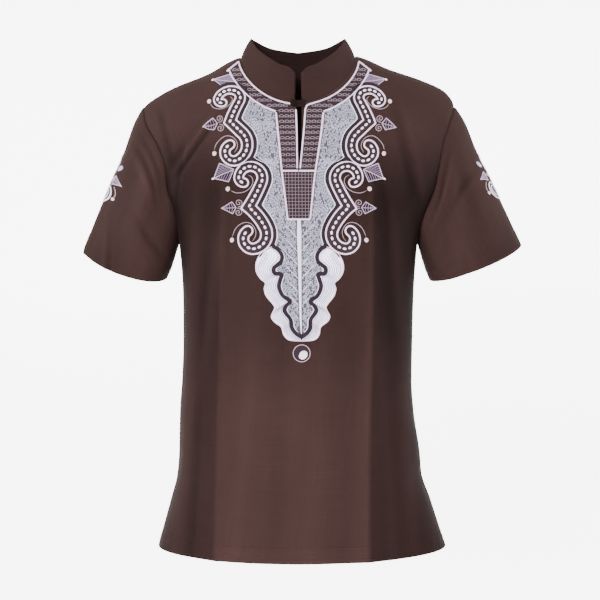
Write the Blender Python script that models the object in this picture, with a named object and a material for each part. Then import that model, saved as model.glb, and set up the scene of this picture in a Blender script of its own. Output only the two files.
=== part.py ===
"""Short-sleeved pullover tunic with a stand collar and a slit below it, filled out as worn.

The front is towards -Y and +Z is up. The origin is the middle of the neck opening, level with the two
points where the shoulder seams meet the collar. Sizes are in millimetres up to the last step.
"""

import math

import bpy
import numpy as np

MM = 0.001

# Cloth walls and the gap left at every seam
CLOTH = 1.6
COLLAR_CLOTH = 2.4
SEAM = 0.3
MITRE_LIMIT = 0.55

# Heights of the main levels
ARMPIT = -280.0
HEM_SIDE = -727.0
HEM_FRONT_DIP = 10.0
VENT_TOP = -623.0
VENT_SPREAD = 11.0

# The round of the shoulders, and how far down it reaches at the front and at the back
SHOULDER_ROUND = {"front": 280.0, "back": 200.0}
SHOULDER_POWER = 2.0

# How sharply the vent edges spread: across the panel, and down from the top of the vent
SPREAD_ACROSS = 6
SPREAD_DOWN = 1.5

# Grid of a body panel: spans from the side to the crease, from there to the middle, rows below and above
SIDE_SPANS = 10
NECK_SPANS = 8
LOWER_ROWS = 16
UPPER_ROWS = 12
SLEEVE_ROWS = 10
COLLAR_ROWS = 5
ROW_SAMPLES = 361

# Body sections: half-widths on the -X and +X sides, depths in front of and behind the side seam, and the
# power of the rounded section (2 is an ellipse, more is squarer)
BODY_COLUMNS = ("height", "left", "right", "front", "back", "power", "side_seam")
BODY = (
    (40, 252, 254, 98, 82, 2.5, 8),
    (-80, 249, 251, 102, 90, 2.5, 7),
    (-110, 246, 248, 107, 97, 2.5, 6),
    (-140, 240, 243, 112, 102, 2.5, 6),
    (-171, 228, 234, 116, 105, 2.5, 5),
    (-205, 212, 218, 118, 106, 2.6, 4),
    (-240, 189, 195, 118, 106, 2.7, 2),
    (-280, 177, 178, 118, 106, 2.8, 0),
    (-366, 170.5, 171.6, 114, 102, 3.0, 0),
    (-430, 170, 170, 112, 100, 3.0, 0),
    (-485, 172, 169, 112, 100, 3.0, 0),
    (-530, 175, 172, 114, 101, 3.0, 0),
    (-590, 176, 181, 117, 103, 2.9, 0),
    (-623, 179, 184, 120, 105, 2.8, 0),
    (-662, 189, 197, 124, 108, 2.7, 0),
    (-715, 203, 214, 129, 112, 2.6, 0),
    (-745, 210, 224, 131, 114, 2.6, 0),
)

# Armhole seams: distance from the middle plane, seen from the front and from the back
ARMHOLE_COLUMNS = ("height", "front_left", "front_right", "back_left", "back_right")
ARMHOLE = (
    (-75, 232, 235.5, 232, 235.5),
    (-99, 227, 226, 228, 230),
    (-140, 205, 212, 214, 217),
    (-171, 194, 207, 206, 210),
    (-205, 191, 200, 198, 203),
    (-238, 181, 187, 184, 188),
    (-262, 178, 180, 179.5, 181),
    (-280, 177, 178, 177, 178),
)

# Shoulder seam: its height at each distance from the middle plane; inside the neck it is only a guide
SHOULDER_SEAM_COLUMNS = ("distance", "left", "right")
SHOULDER_SEAM = (
    (0, 10, 11),
    (86, -1, 1),
    (137, -27, -19),
    (187, -47, -36),
    (219, -65, -51),
    (232, -75, -66),
    (235.5, -78, -75),
)

# Neck opening: its half-width, the heights of its lowest points and the roundness of the front
NECK_HALF = 86.0
NECK_FRONT = -80.0
NECK_BACK = -26.0
NECK_POWER = 1.8
NECK_EASE = 0.075

# Middle of the front, where the slit is: its place and the slit's width, closed below the smallest width
SLIT_CLOSED = 0.5
MIDDLE_COLUMNS = ("height", "middle", "slit")
MIDDLE = (
    (-60, 0.0, 10.0),
    (-80, 0.5, 9.0),
    (-96, 1.8, 7.2),
    (-125, 2.0, 6.4),
    (-150, 2.0, 4.2),
    (-172, 2.0, 0.0),
    (-280, 3.0, 0.0),
    (-430, 4.0, 0.0),
    (-745, 3.0, 0.0),
)

# Pressed creases down the front and plain ones down the back: place and height of the ridge
CREASE_COLUMNS = ("height", "left", "right", "ridge")
CREASES = (
    (40, 86, 86, 0.0),
    (-80, 98, 96, 0.0),
    (-150, 106, 104, 2.0),
    (-280, 108, 106, 4.0),
    (-430, 110, 104, 4.5),
    (-600, 114, 100, 5.0),
    (-745, 116, 99, 5.0),
)
CREASE_REACH = 16.0
SLOPE_STEP = 0.2

# Large soft folds of the front: two ends, height (below zero is a trough) and half-width
FOLD_COLUMNS = ("x0", "z0", "x1", "z1", "height", "width")
FOLD_EASE = 0.35
FRONT_FOLDS = (
    (-140, -118, -178, -215, 5.0, 15),
    (-152, -112, -188, -190, -3.0, 9),
    (168, -100, 182, -175, 4.0, 14),
    (-60, -430, -40, -640, 2.0, 30),
    (62, -420, 40, -560, 2.5, 34),
    (150, -300, 120, -420, 2.5, 24),
    (-150, -330, -128, -470, 2.5, 24),
)
BACK_FOLDS = (
    (-150, -110, -176, -220, 4.0, 16),
    (150, -112, 178, -215, 4.0, 16),
    (-50, -180, -70, -420, 3.0, 34),
    (55, -200, 78, -460, 3.0, 34),
    (0, -420, 8, -700, 3.0, 40),
)

# Cuffs: the corner away from the body, the corner beside it, half-depth and the dip of the front edge
CUFFS = {
    "sleeve_right": {"outer": (-319, 0, -286), "inner": (-197, 0, -333), "half_depth": 60, "dip": 19},
    "sleeve_left": {"outer": (333, 0, -281), "inner": (198, 0, -336), "half_depth": 60, "dip": 12},
}
CUFF_BACK_DIP = 0.35
SLEEVE_FULLNESS = 7.0

# Fullness of the sleeve head: its height, the place of its crest along the sleeve and its half-width
SLEEVE_HEAD = 5.0
SLEEVE_HEAD_AT = 0.14
SLEEVE_HEAD_WIDTH = 0.12

# Soft folds of a sleeve: turn round it (0 at the top, 0.5 at the underarm, the front between), place along
# it, slant in turns over its length, height and half-widths
SLEEVE_FOLD_EASE = 4.0
SLEEVE_FOLD_COLUMNS = ("turn", "along", "slant", "height", "turn_width", "along_width")
SLEEVE_FOLDS = {
    "sleeve_right": (
        (0.16, 0.22, 0.075, -3.0, 0.030, 0.34),
        (0.23, 0.30, 0.09, 3.0, 0.030, 0.38),
        (0.12, 0.80, 0.015, 3.0, 0.018, 0.45),
        (0.78, 0.40, -0.06, 3.0, 0.045, 0.40),
    ),
    "sleeve_left": (
        (0.20, 0.35, 0.09, -3.5, 0.030, 0.32),
        (0.28, 0.45, 0.09, 3.0, 0.030, 0.36),
        (0.36, 0.85, -0.105, 3.0, 0.030, 0.22),
        (0.76, 0.45, -0.06, 3.0, 0.045, 0.40),
    ),
}

# Stand collar: the top edge by its turn round the neck from the middle front (0) to the middle back (180)
COLLAR_COLUMNS = ("turn", "top_height")
COLLAR_TOP = (
    (0, -27),
    (17, -24),
    (34, -13),
    (53, 1),
    (72, 16),
    (90, 28),
    (110, 27),
    (145, 18),
    (180, 13),
)
COLLAR_TOP_HALF = 71.0
COLLAR_TOP_FRONT = -61.0
COLLAR_TOP_BACK = 47.0
COLLAR_TOP_MIDDLE = 8.0
COLLAR_CORNER = 15.0
COLLAR_BOW = 1.5
COLLAR_SEAM = 0.375

# How far the two front edges of the collar lean out at the top, towards -X and +X
COLLAR_LEAN = (3.5, 1.0)

# Button at the neck base, and the tab of cloth from the other edge that it holds
BUTTON_RADIUS = 5.2
BUTTON_THICKNESS = 2.8
BUTTON_X = -6.5
BUTTON_Z = -82.0
BUTTON_STANDOFF = 2.6
BUTTON_SIDES = 24

# Button profile: radius and rise, as shares of the button's radius and thickness
BUTTON_PROFILE = (
    (0.0, 0.0),
    (0.55, 0.0),
    (0.90, 0.15),
    (1.0, 0.45),
    (0.93, 0.75),
    (0.70, 0.93),
    (0.35, 1.0),
    (0.0, 1.03),
)
TAB_LEFT = -10.0
TAB_RIGHT = 11.0
TAB_TOP = -76.5
TAB_BOTTOM = -86.5
TAB_THICKNESS = 1.2
TAB_STANDOFF = 0.9
TAB_COLUMNS = 10
TAB_ROWS = 6
TAB_ROUND_END = 5.0
TAB_BLUNT = 0.95

CLOTH_COLOUR = (0.082, 0.047, 0.040, 1.0)
BUTTON_COLOUR = (0.030, 0.018, 0.015, 1.0)


def column(rows, names, name, at):
    """Smooth value of one named column of a table at the given places, with no overshoot."""
    table = sorted(rows)
    xs = np.array([row[0] for row in table], dtype=float)
    ys = np.array([row[names.index(name)] for row in table], dtype=float)
    at = np.clip(np.asarray(at, dtype=float), xs[0], xs[-1])
    steps = np.diff(xs)
    slopes = np.diff(ys) / steps
    tangents = np.zeros(len(xs))
    tangents[0], tangents[-1] = slopes[0], slopes[-1]
    same_sign = slopes[:-1] * slopes[1:] > 0
    both = slopes[:-1] + slopes[1:]
    inner = np.zeros(len(slopes) - 1)
    inner[same_sign] = 2 * slopes[:-1][same_sign] * slopes[1:][same_sign] / both[same_sign]
    tangents[1:-1] = inner
    k = np.clip(np.searchsorted(xs, at) - 1, 0, len(steps) - 1)
    t = (at - xs[k]) / steps[k]
    return (
        (1 + 2 * t) * (1 - t) ** 2 * ys[k]
        + t * (1 - t) ** 2 * steps[k] * tangents[k]
        + t * t * (3 - 2 * t) * ys[k + 1]
        + t * t * (t - 1) * steps[k] * tangents[k + 1]
    )


def body(name, heights):
    return column(BODY, BODY_COLUMNS, name, heights)


def by_side(x, left, right):
    """The left value where x is below zero and the right value elsewhere."""
    return np.where(x < 0, left, right)


def shoulder_height(x):
    left = column(SHOULDER_SEAM, SHOULDER_SEAM_COLUMNS, "left", np.abs(x))
    right = column(SHOULDER_SEAM, SHOULDER_SEAM_COLUMNS, "right", np.abs(x))
    return by_side(x, left, right)


def top_edge(x, side, below):
    """Height of a panel's top edge, or of the line at a distance below it: shoulder seams and neckline."""
    ratio = np.clip(np.abs(x) / (NECK_HALF + below), 0, 1)
    lowest = (NECK_FRONT if side == "front" else NECK_BACK) - below
    corner = shoulder_height(np.sign(x) * NECK_HALF)
    neckline = corner + (lowest - corner) * (1 - ratio**NECK_POWER) ** (1 / NECK_POWER)
    return np.where(ratio < 1, np.minimum(neckline, shoulder_height(x) - below), shoulder_height(x) - below)


def fold_height(x, z, rows):
    """Sum of the soft folds at a place on a panel: a bell across each fold, eased at its two ends."""
    total = np.zeros_like(x)
    for row in rows:
        fold = dict(zip(FOLD_COLUMNS, row))
        dx, dz = fold["x1"] - fold["x0"], fold["z1"] - fold["z0"]
        length = math.hypot(dx, dz)
        along = ((x - fold["x0"]) * dx + (z - fold["z0"]) * dz) / length
        across = ((x - fold["x0"]) * dz - (z - fold["z0"]) * dx) / length
        past_end = np.maximum(np.maximum(-along, along - length), 0) / (FOLD_EASE * length)
        total += fold["height"] * np.exp(-((across / fold["width"]) ** 2) - past_end**2)
    return total


def panel_y(x, z, side):
    """Outer surface of a body panel: how far forward (-Y) or back it is at a place seen from the front."""
    half = by_side(x, body("left", z), body("right", z))
    power = body("power", z)
    across = (1 - np.clip(np.abs(x) / half, 0, 1) ** power) ** (1 / power)
    down = np.clip((shoulder_height(x) - z) / SHOULDER_ROUND[side], 0, 1)
    rounding = (1 - (1 - down) ** SHOULDER_POWER) ** (1 / SHOULDER_POWER)
    crease_left = column(CREASES, CREASE_COLUMNS, "left", z)
    crease_right = column(CREASES, CREASE_COLUMNS, "right", z)
    to_crease = np.abs(x - by_side(x, -crease_left, crease_right))
    ridge = column(CREASES, CREASE_COLUMNS, "ridge", z) * np.exp(-to_crease / CREASE_REACH)
    folds = fold_height(x, z, FRONT_FOLDS if side == "front" else BACK_FOLDS)
    spread = VENT_SPREAD * np.clip((VENT_TOP - z) / (VENT_TOP - HEM_SIDE), 0, 1) ** SPREAD_DOWN
    ends = np.clip(np.abs(x) / half, 0, 1) ** SPREAD_ACROSS
    depth = (body(side, z) + folds * rounding + ridge) * across * rounding + spread * ends + SEAM / 2
    return body("side_seam", z) + (-depth if side == "front" else depth)


def panel_row(level, side):
    """Points of one row of a panel. Levels run from 0 at the hem to 1 at the armpit and 2 at the top."""
    t = np.linspace(-1, 1, ROW_SAMPLES)
    w = np.sin(t * math.pi / 2)
    if level <= 1:
        flat = HEM_SIDE + (ARMPIT - HEM_SIDE) * level
        half_left, half_right = body("left", flat), body("right", flat)
        x = w * by_side(w, half_left, half_right)
        dip = HEM_FRONT_DIP if side == "front" else 0.0
        z = flat - dip * (1 - w**2) * (1 - level) ** 2
    else:
        rise = level - 1
        below_left = (shoulder_tip(-1) - ARMPIT) * (1 - rise)
        below_right = (shoulder_tip(1) - ARMPIT) * (1 - rise)
        edge_left = shoulder_tip(-1) - below_left
        edge_right = shoulder_tip(1) - below_right
        half_left = column(ARMHOLE, ARMHOLE_COLUMNS, side + "_left", edge_left)
        half_right = column(ARMHOLE, ARMHOLE_COLUMNS, side + "_right", edge_right)
        x = w * by_side(w, half_left, half_right)
        at_top = w * by_side(w, ARMHOLE[0][1], ARMHOLE[0][2])
        share = (w + 1) / 2
        below = below_left + (below_right - below_left) * share
        edge = edge_left + (edge_right - edge_left) * share
        z = edge + (top_edge(at_top, side, below) - edge) * rise
    y = panel_y(x, z, side)
    return resample(np.stack([x, y, z], axis=1), row_breaks(x, z, level))


def shoulder_tip(direction):
    """Height of the shoulder seam's outer end."""
    reach = ARMHOLE[0][1] if direction < 0 else ARMHOLE[0][2]
    return float(shoulder_height(np.array([direction * reach]))[0])


def row_breaks(x, z, level):
    """Places across a row where a pressed crease, the neck corner or the middle of the front lies."""
    middle_z = float(np.interp(0, x, z))
    neck_share = math.exp(-(2 - level) / NECK_EASE)
    creases = []
    for direction, name, tip in ((-1, "left", ARMHOLE[0][1]), (1, "right", ARMHOLE[0][2])):
        crease = float(column(CREASES, CREASE_COLUMNS, name, middle_z))
        edge = abs(x[0] if direction < 0 else x[-1])
        at_neck = NECK_HALF * edge / tip
        creases.append(direction * (crease + (at_neck - crease) * neck_share))
    middle = float(column(MIDDLE, MIDDLE_COLUMNS, "middle", middle_z))
    return creases[0], middle, creases[1]


def resample(points, breaks):
    """Evenly spaced points along each stretch of a row, with one point on each break."""
    lengths = np.concatenate([[0], np.cumsum(np.linalg.norm(np.diff(points, axis=0), axis=1))])
    marks = [0.0] + [float(np.interp(b, points[:, 0], lengths)) for b in breaks] + [lengths[-1]]
    counts = (SIDE_SPANS, NECK_SPANS, NECK_SPANS, SIDE_SPANS)
    stations = [marks[0]]
    for start, end, count in zip(marks[:-1], marks[1:], counts):
        stations += list(np.linspace(start, end, count + 1)[1:])
    return np.stack([np.interp(stations, lengths, points[:, axis]) for axis in range(3)], axis=1)


def panel_levels():
    lower = [j / LOWER_ROWS for j in range(LOWER_ROWS)]
    upper = [1.5 - 0.5 * math.cos(math.pi * j / UPPER_ROWS) for j in range(UPPER_ROWS + 1)]
    return lower + upper


def panel_points(side):
    """Grid of a body panel: rows from the hem up, columns from -X to +X."""
    return np.array([panel_row(level, side) for level in panel_levels()])


def panel_normals(grid, side):
    """Outward directions of a body panel, from the slopes of its surface."""
    x, z = grid[..., 0], grid[..., 2]
    outward = -1.0 if side == "front" else 1.0
    slope_x = panel_y(x + SLOPE_STEP, z, side) - panel_y(x - SLOPE_STEP, z, side)
    slope_z = panel_y(x, z + SLOPE_STEP, side) - panel_y(x, z - SLOPE_STEP, side)
    normals = np.stack([-slope_x, np.full_like(x, 2 * SLOPE_STEP), -slope_z], axis=-1)
    return unit(normals * outward)


def derivative(grid, axis, closed):
    """Second-order differences along one axis of a grid of points, also at its ends."""
    if closed:
        return (np.roll(grid, -1, axis) - np.roll(grid, 1, axis)) / 2
    return np.gradient(grid, axis=axis, edge_order=2)


def tube_normals(grid, outward):
    """Outward directions of a closed tube of points; outward is 1 or -1 by the way its columns run."""
    return unit(np.cross(derivative(grid, 1, True), derivative(grid, 0, False))) * outward


def unit(vectors):
    return vectors / np.linalg.norm(vectors, axis=-1, keepdims=True)


def without_y(normals):
    """Normals turned into the plane of a side or shoulder seam, so that both walls end on that plane."""
    turned = normals.copy()
    turned[..., 1] = 0
    return unit(turned)


def quad_faces(rows, columns, closed=False):
    """Quads of a grid whose vertices are numbered row by row."""
    faces = []
    spans = columns if closed else columns - 1
    for j in range(rows - 1):
        for i in range(spans):
            a, b = j * columns + i, j * columns + (i + 1) % columns
            faces.append((a, b, b + columns, a + columns))
    return faces


def cut_quad(points, quad):
    """Two triangles of a quad, cut along its shorter diagonal."""
    a, b, c, d = quad
    if np.linalg.norm(points[a] - points[c]) <= np.linalg.norm(points[b] - points[d]):
        return (a, b, c), (a, c, d)
    return (a, b, d), (b, c, d)


def cloth_wall(name, outer, inner, faces, material):
    """Closed wall of cloth: the outer faces, the same faces turned inside, and a rim round every edge."""
    count = len(outer)
    triangles = [half for face in faces for half in cut_quad(outer, face)]
    walls = triangles + [tuple(count + v for v in reversed(half)) for half in triangles]
    seen = set()
    for face in faces:
        for a, b in zip(face, face[1:] + face[:1]):
            seen.add((a, b))
    for a, b in sorted(seen):
        if (b, a) not in seen:
            walls.append((b, a, count + a, count + b))
    return make_object(name, np.concatenate([outer, inner]), walls, material)


def make_object(name, points, faces, material):
    mesh = bpy.data.meshes.new(name)
    mesh.from_pydata([tuple(p * MM for p in point) for point in points], [], faces)
    mesh.validate()
    mesh.materials.append(material)
    mesh.shade_smooth()
    obj = bpy.data.objects.new(name, mesh)
    bpy.context.scene.collection.objects.link(obj)
    return obj


def split_slit(grid, inner, faces):
    """Opens the middle column of the front along the slit. The vertex at its lower end stays whole."""
    columns = grid.shape[1]
    middle = SIDE_SPANS + NECK_SPANS
    outer = grid.reshape(-1, 3).copy()
    inside = inner.reshape(-1, 3).copy()
    twins = {}
    for j in range(grid.shape[0]):
        width = float(column(MIDDLE, MIDDLE_COLUMNS, "slit", grid[j, middle, 2]))
        if width <= SLIT_CLOSED:
            continue
        here = j * columns + middle
        twins[here] = len(outer)
        shift = np.array([width / 2, 0, 0])
        outer = np.vstack([outer, outer[here] + shift])
        inside = np.vstack([inside, inside[here] + shift])
        outer[here] -= shift
        inside[here] -= shift
    opened = []
    for face in faces:
        on_right = min(v % columns for v in face) >= middle
        opened.append(tuple(twins.get(v, v) if on_right else v for v in face))
    return outer, inside, opened


def sleeve_loop(front_edge, back_edge):
    """Closed armhole loop: from the shoulder tip down the front edge to the armpit and up the back edge."""
    tip = (front_edge[-1] + back_edge[-1]) / 2
    armpit = (front_edge[0] + back_edge[0]) / 2
    return np.array([tip] + list(front_edge[-2:0:-1]) + [armpit] + list(back_edge[1:-1]))


def cuff_ring(cuff, armhole):
    """One cuff point for each armhole point, at the same share of the way round the front or the back."""
    half = len(armhole) // 2
    outer, inner = np.array(cuff["outer"], float), np.array(cuff["inner"], float)
    centre, reach = (outer + inner) / 2, (outer - inner) / 2
    downward = unit(np.array([-abs(reach[2]) * -np.sign(outer[0]), 0, -abs(reach[0])]))
    shares = []
    for start in (0, half):
        loop = np.array([armhole[(start + k) % len(armhole)] for k in range(half + 1)])
        lengths = np.concatenate([[0], np.cumsum(np.linalg.norm(np.diff(loop, axis=0), axis=1))])
        shares += list(lengths[:-1] / lengths[-1])
    points = []
    for k, share in enumerate(shares):
        angle = math.pi * share + (0 if k < half else math.pi)
        forward = math.sin(angle)
        dip = cuff["dip"] * (max(forward, 0) - CUFF_BACK_DIP * max(-forward, 0))
        point = centre + reach * math.cos(angle) + downward * dip
        point = point - np.array([0, cuff["half_depth"] * forward, 0])
        points.append(point)
    return np.array(points), np.arange(2 * half) / (2 * half)


def sleeve_fold_height(turn, along, rows):
    total = 0.0
    for row in rows:
        fold = dict(zip(SLEEVE_FOLD_COLUMNS, row))
        past = along - fold["along"]
        off = turn - fold["turn"] - fold["slant"] * past
        off -= round(off)
        bell = (off / fold["turn_width"]) ** 2 + (past / fold["along_width"]) ** 2
        total += fold["height"] * math.exp(-bell)
    return total


def sleeve_points(name, armhole):
    """Grid of a sleeve: rows from the armhole to the cuff, columns round it."""
    ring, turns = cuff_ring(CUFFS[name], armhole)
    centre_line = np.array([armhole.mean(axis=0), ring.mean(axis=0)])
    rows = []
    for j in range(SLEEVE_ROWS + 1):
        s = j / SLEEVE_ROWS
        centre = centre_line[0] + (centre_line[1] - centre_line[0]) * s
        row = []
        for k, turn in enumerate(turns):
            point = armhole[k] + (ring[k] - armhole[k]) * s
            outward = unit(point - centre)
            round_out = abs(math.sin(2 * math.pi * turn)) * SLEEVE_FULLNESS * math.sin(math.pi * s)
            crest = math.exp(-(((s - SLEEVE_HEAD_AT) / SLEEVE_HEAD_WIDTH) ** 2)) if j else 0.0
            head = SLEEVE_HEAD * max(math.cos(2 * math.pi * turn), 0) * crest
            fold = sleeve_fold_height(turn, s, SLEEVE_FOLDS[name]) * min(1.0, s * SLEEVE_FOLD_EASE)
            row.append(point + outward * (round_out + head + fold))
        rows.append(row)
    return np.array(rows)


def collar_grid(neckline):
    """Grid of the collar: rows from the neck seam up, columns from the left front edge round the back."""
    rows = []
    base = neckline + np.array([0, 0, COLLAR_SEAM])
    tops = []
    for k, point in enumerate(base):
        front = point[1] < COLLAR_TOP_MIDDLE
        angle = math.degrees(math.asin(min(1.0, abs(point[0]) / NECK_HALF)))
        turn = angle if front else 180 - angle
        depth = COLLAR_TOP_FRONT if front else COLLAR_TOP_BACK
        top_x = math.copysign(COLLAR_TOP_HALF * math.sin(math.radians(turn)), point[0])
        top_y = COLLAR_TOP_MIDDLE + (depth - COLLAR_TOP_MIDDLE) * abs(math.cos(math.radians(turn)))
        top_z = float(column(COLLAR_TOP, COLLAR_COLUMNS, "top_height", turn))
        from_edge = abs(top_x - base[0 if point[0] < 0 else -1][0])
        if front and from_edge < COLLAR_CORNER:
            top_z -= COLLAR_CORNER * (1 - math.sqrt(1 - (1 - from_edge / COLLAR_CORNER) ** 2))
        tops.append((top_x, top_y, top_z))
    tops = np.array(tops)
    tops[0, 0] = base[0, 0] - COLLAR_LEAN[0]
    tops[-1, 0] = base[-1, 0] + COLLAR_LEAN[1]
    for j in range(COLLAR_ROWS + 1):
        s = j / COLLAR_ROWS
        row = base + (tops - base) * s
        outward = unit(row * np.array([1, 1, 0]) - np.array([0, COLLAR_TOP_MIDDLE, 0]))
        rows.append(row + outward * COLLAR_BOW * math.sin(math.pi * s))
    return np.array(rows)


def neck_seat(x, z):
    """Surface that the tab lies on: the front panel, and straight up from its edge over the collar."""
    on_panel = panel_y(x, z, "front")
    at_edge = panel_y(x, np.full_like(x, NECK_FRONT), "front")
    return np.where(z > NECK_FRONT, at_edge, on_panel)


def make_tab(material):
    """Narrow tab across the top of the slit, with a rounded end under the button."""
    grid = []
    for x in np.linspace(TAB_LEFT, TAB_RIGHT, TAB_COLUMNS + 1):
        into_end = np.clip((TAB_LEFT + TAB_ROUND_END - x) / TAB_ROUND_END, 0, TAB_BLUNT)
        half = (TAB_TOP - TAB_BOTTOM) / 2 * math.sqrt(1 - into_end**2)
        heights = (TAB_TOP + TAB_BOTTOM) / 2 + np.linspace(half, -half, TAB_ROWS + 1)
        places = np.full_like(heights, x)
        grid.append(np.stack([places, neck_seat(places, heights), heights], axis=1))
    grid = np.array(grid)
    forward = np.array([0, -1, 0])
    inner = grid + forward * TAB_STANDOFF
    outer = inner + forward * TAB_THICKNESS
    faces = quad_faces(*grid.shape[:2])
    return cloth_wall("button_tab", outer.reshape(-1, 3), inner.reshape(-1, 3), faces, material)


def make_button(material):
    """Domed button with a rounded rim, turned about the line through its middle."""
    ends = neck_seat(np.full(2, BUTTON_X), np.array([BUTTON_Z + BUTTON_RADIUS, BUTTON_Z - BUTTON_RADIUS]))
    seat, slope = ends.mean(), (ends[0] - ends[1]) / (2 * BUTTON_RADIUS)
    outward = unit(np.array([0.0, -1.0, slope]))
    side = np.array([1.0, 0, 0])
    upward = np.cross(outward, side)
    base = np.array([BUTTON_X, seat, BUTTON_Z]) + outward * BUTTON_STANDOFF
    points = [base]
    for radius, rise in BUTTON_PROFILE[1:-1]:
        for k in range(BUTTON_SIDES):
            angle = 2 * math.pi * k / BUTTON_SIDES
            spoke = side * math.cos(angle) + upward * math.sin(angle)
            points.append(base + spoke * radius * BUTTON_RADIUS + outward * rise * BUTTON_THICKNESS)
    points.append(base + outward * BUTTON_PROFILE[-1][1] * BUTTON_THICKNESS)
    rings = len(BUTTON_PROFILE) - 2
    faces = []
    for k in range(BUTTON_SIDES):
        after = (k + 1) % BUTTON_SIDES
        faces.append((0, 1 + after, 1 + k))
        for ring in range(rings - 1):
            low, high = 1 + ring * BUTTON_SIDES, 1 + (ring + 1) * BUTTON_SIDES
            faces.append((low + k, low + after, high + after, high + k))
        top = 1 + (rings - 1) * BUTTON_SIDES
        faces.append((top + k, top + after, len(points) - 1))
    return make_object("button", np.array(points), faces, material)


def plain_material(name, colour, roughness):
    material = bpy.data.materials.new(name)
    material.use_nodes = True
    shader = material.node_tree.nodes["Principled BSDF"]
    shader.inputs["Base Color"].default_value = colour
    shader.inputs["Roughness"].default_value = roughness
    shader.inputs["Metallic"].default_value = 0.0
    return material


def mitred(outer, normals, surface_normals, thickness):
    """Inner points of a wall, pushed further where the shared rim leans away from the surface."""
    lean = np.clip(np.sum(normals * surface_normals, axis=-1, keepdims=True), MITRE_LIMIT, 1)
    return outer - normals * thickness / lean


def main():
    for old in list(bpy.data.objects):
        bpy.data.objects.remove(old, do_unlink=True)

    front, back = panel_points("front"), panel_points("back")
    surface = {"front": panel_normals(front, "front"), "back": panel_normals(back, "back")}
    rims = {side: normals.copy() for side, normals in surface.items()}
    neck = slice(SIDE_SPANS, SIDE_SPANS + 2 * NECK_SPANS + 1)
    for normals in rims.values():
        for edge in (0, -1):
            normals[: LOWER_ROWS + 1, edge] = without_y(normals[: LOWER_ROWS + 1, edge])
        normals[-1, : neck.start + 1] = without_y(normals[-1, : neck.start + 1])
        normals[-1, neck.stop - 1 :] = without_y(normals[-1, neck.stop - 1 :])

    sleeves = {}
    for name, edge, outward in (("sleeve_right", 0, -1), ("sleeve_left", -1, 1)):
        armhole = sleeve_loop(front[LOWER_ROWS:, edge], back[LOWER_ROWS:, edge])
        grid = sleeve_points(name, armhole)
        normals = tube_normals(grid, outward)
        panel_rim = sleeve_loop(surface["front"][LOWER_ROWS:, edge], surface["back"][LOWER_ROWS:, edge])
        shared = unit(unit(panel_rim) + normals[0])
        tangent = unit(derivative(armhole[None], 1, True)[0])
        away = unit(np.cross(shared, tangent)) * outward
        grid[0] = armhole + away * SEAM
        half = len(armhole) // 2
        rims["front"][LOWER_ROWS:, edge] = shared[half::-1]
        rims["back"][LOWER_ROWS:, edge] = np.concatenate([shared[half:], shared[:1]])
        rim = normals.copy()
        rim[0] = shared
        sleeves[name] = (grid, rim, normals, outward)

    cloth = plain_material("brown_cloth", CLOTH_COLOUR, 0.8)
    for side, grid in (("front", front), ("back", back)):
        inner = mitred(grid, rims[side], surface[side], CLOTH)
        faces = quad_faces(*grid.shape[:2])
        if side == "front":
            outer, inner, faces = split_slit(grid, inner, faces)
        else:
            outer, inner = grid.reshape(-1, 3), inner.reshape(-1, 3)
            faces = [tuple(reversed(face)) for face in faces]
        cloth_wall(side, outer, inner, faces, cloth)

    for name, (grid, rim, normals, outward) in sleeves.items():
        inner = mitred(grid, rim, normals, CLOTH)
        faces = quad_faces(*grid.shape[:2], closed=True)
        if outward < 0:
            faces = [tuple(reversed(face)) for face in faces]
        cloth_wall(name, grid.reshape(-1, 3), inner.reshape(-1, 3), faces, cloth)

    middle = SIDE_SPANS + NECK_SPANS
    half_slit = float(column(MIDDLE, MIDDLE_COLUMNS, "slit", front[-1, middle, 2])) / 2
    slit_left = front[-1, middle] - np.array([half_slit, 0, 0])
    slit_right = front[-1, middle] + np.array([half_slit, 0, 0])
    start, stop = neck.start, neck.stop - 1
    neckline = np.array(
        [slit_left]
        + [front[-1, i] for i in range(middle - 1, start, -1)]
        + [(front[-1, start] + back[-1, start]) / 2]
        + [back[-1, i] for i in range(start + 1, stop)]
        + [(front[-1, stop] + back[-1, stop]) / 2]
        + [front[-1, i] for i in range(stop - 1, middle, -1)]
        + [slit_right]
    )
    collar = collar_grid(neckline)
    away = collar - np.array([0, COLLAR_TOP_MIDDLE, 0])
    normals = unit(away * np.array([1, (COLLAR_TOP_HALF / (COLLAR_TOP_MIDDLE - COLLAR_TOP_FRONT)) ** 2, 0]))
    inner = collar - normals * COLLAR_CLOTH
    faces = [tuple(reversed(face)) for face in quad_faces(*collar.shape[:2])]
    cloth_wall("collar", collar.reshape(-1, 3), inner.reshape(-1, 3), faces, cloth)

    make_tab(cloth)
    make_button(plain_material("dark_button", BUTTON_COLOUR, 0.45))


main()
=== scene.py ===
"""Dressed looks of a short-sleeved pullover tunic with an embroidered neck, filled out as worn.

The front is towards -Y and +Z is up. The origin is the middle of the neck opening. Sizes are in
millimetres up to the making of each mesh.
"""

import math

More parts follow.
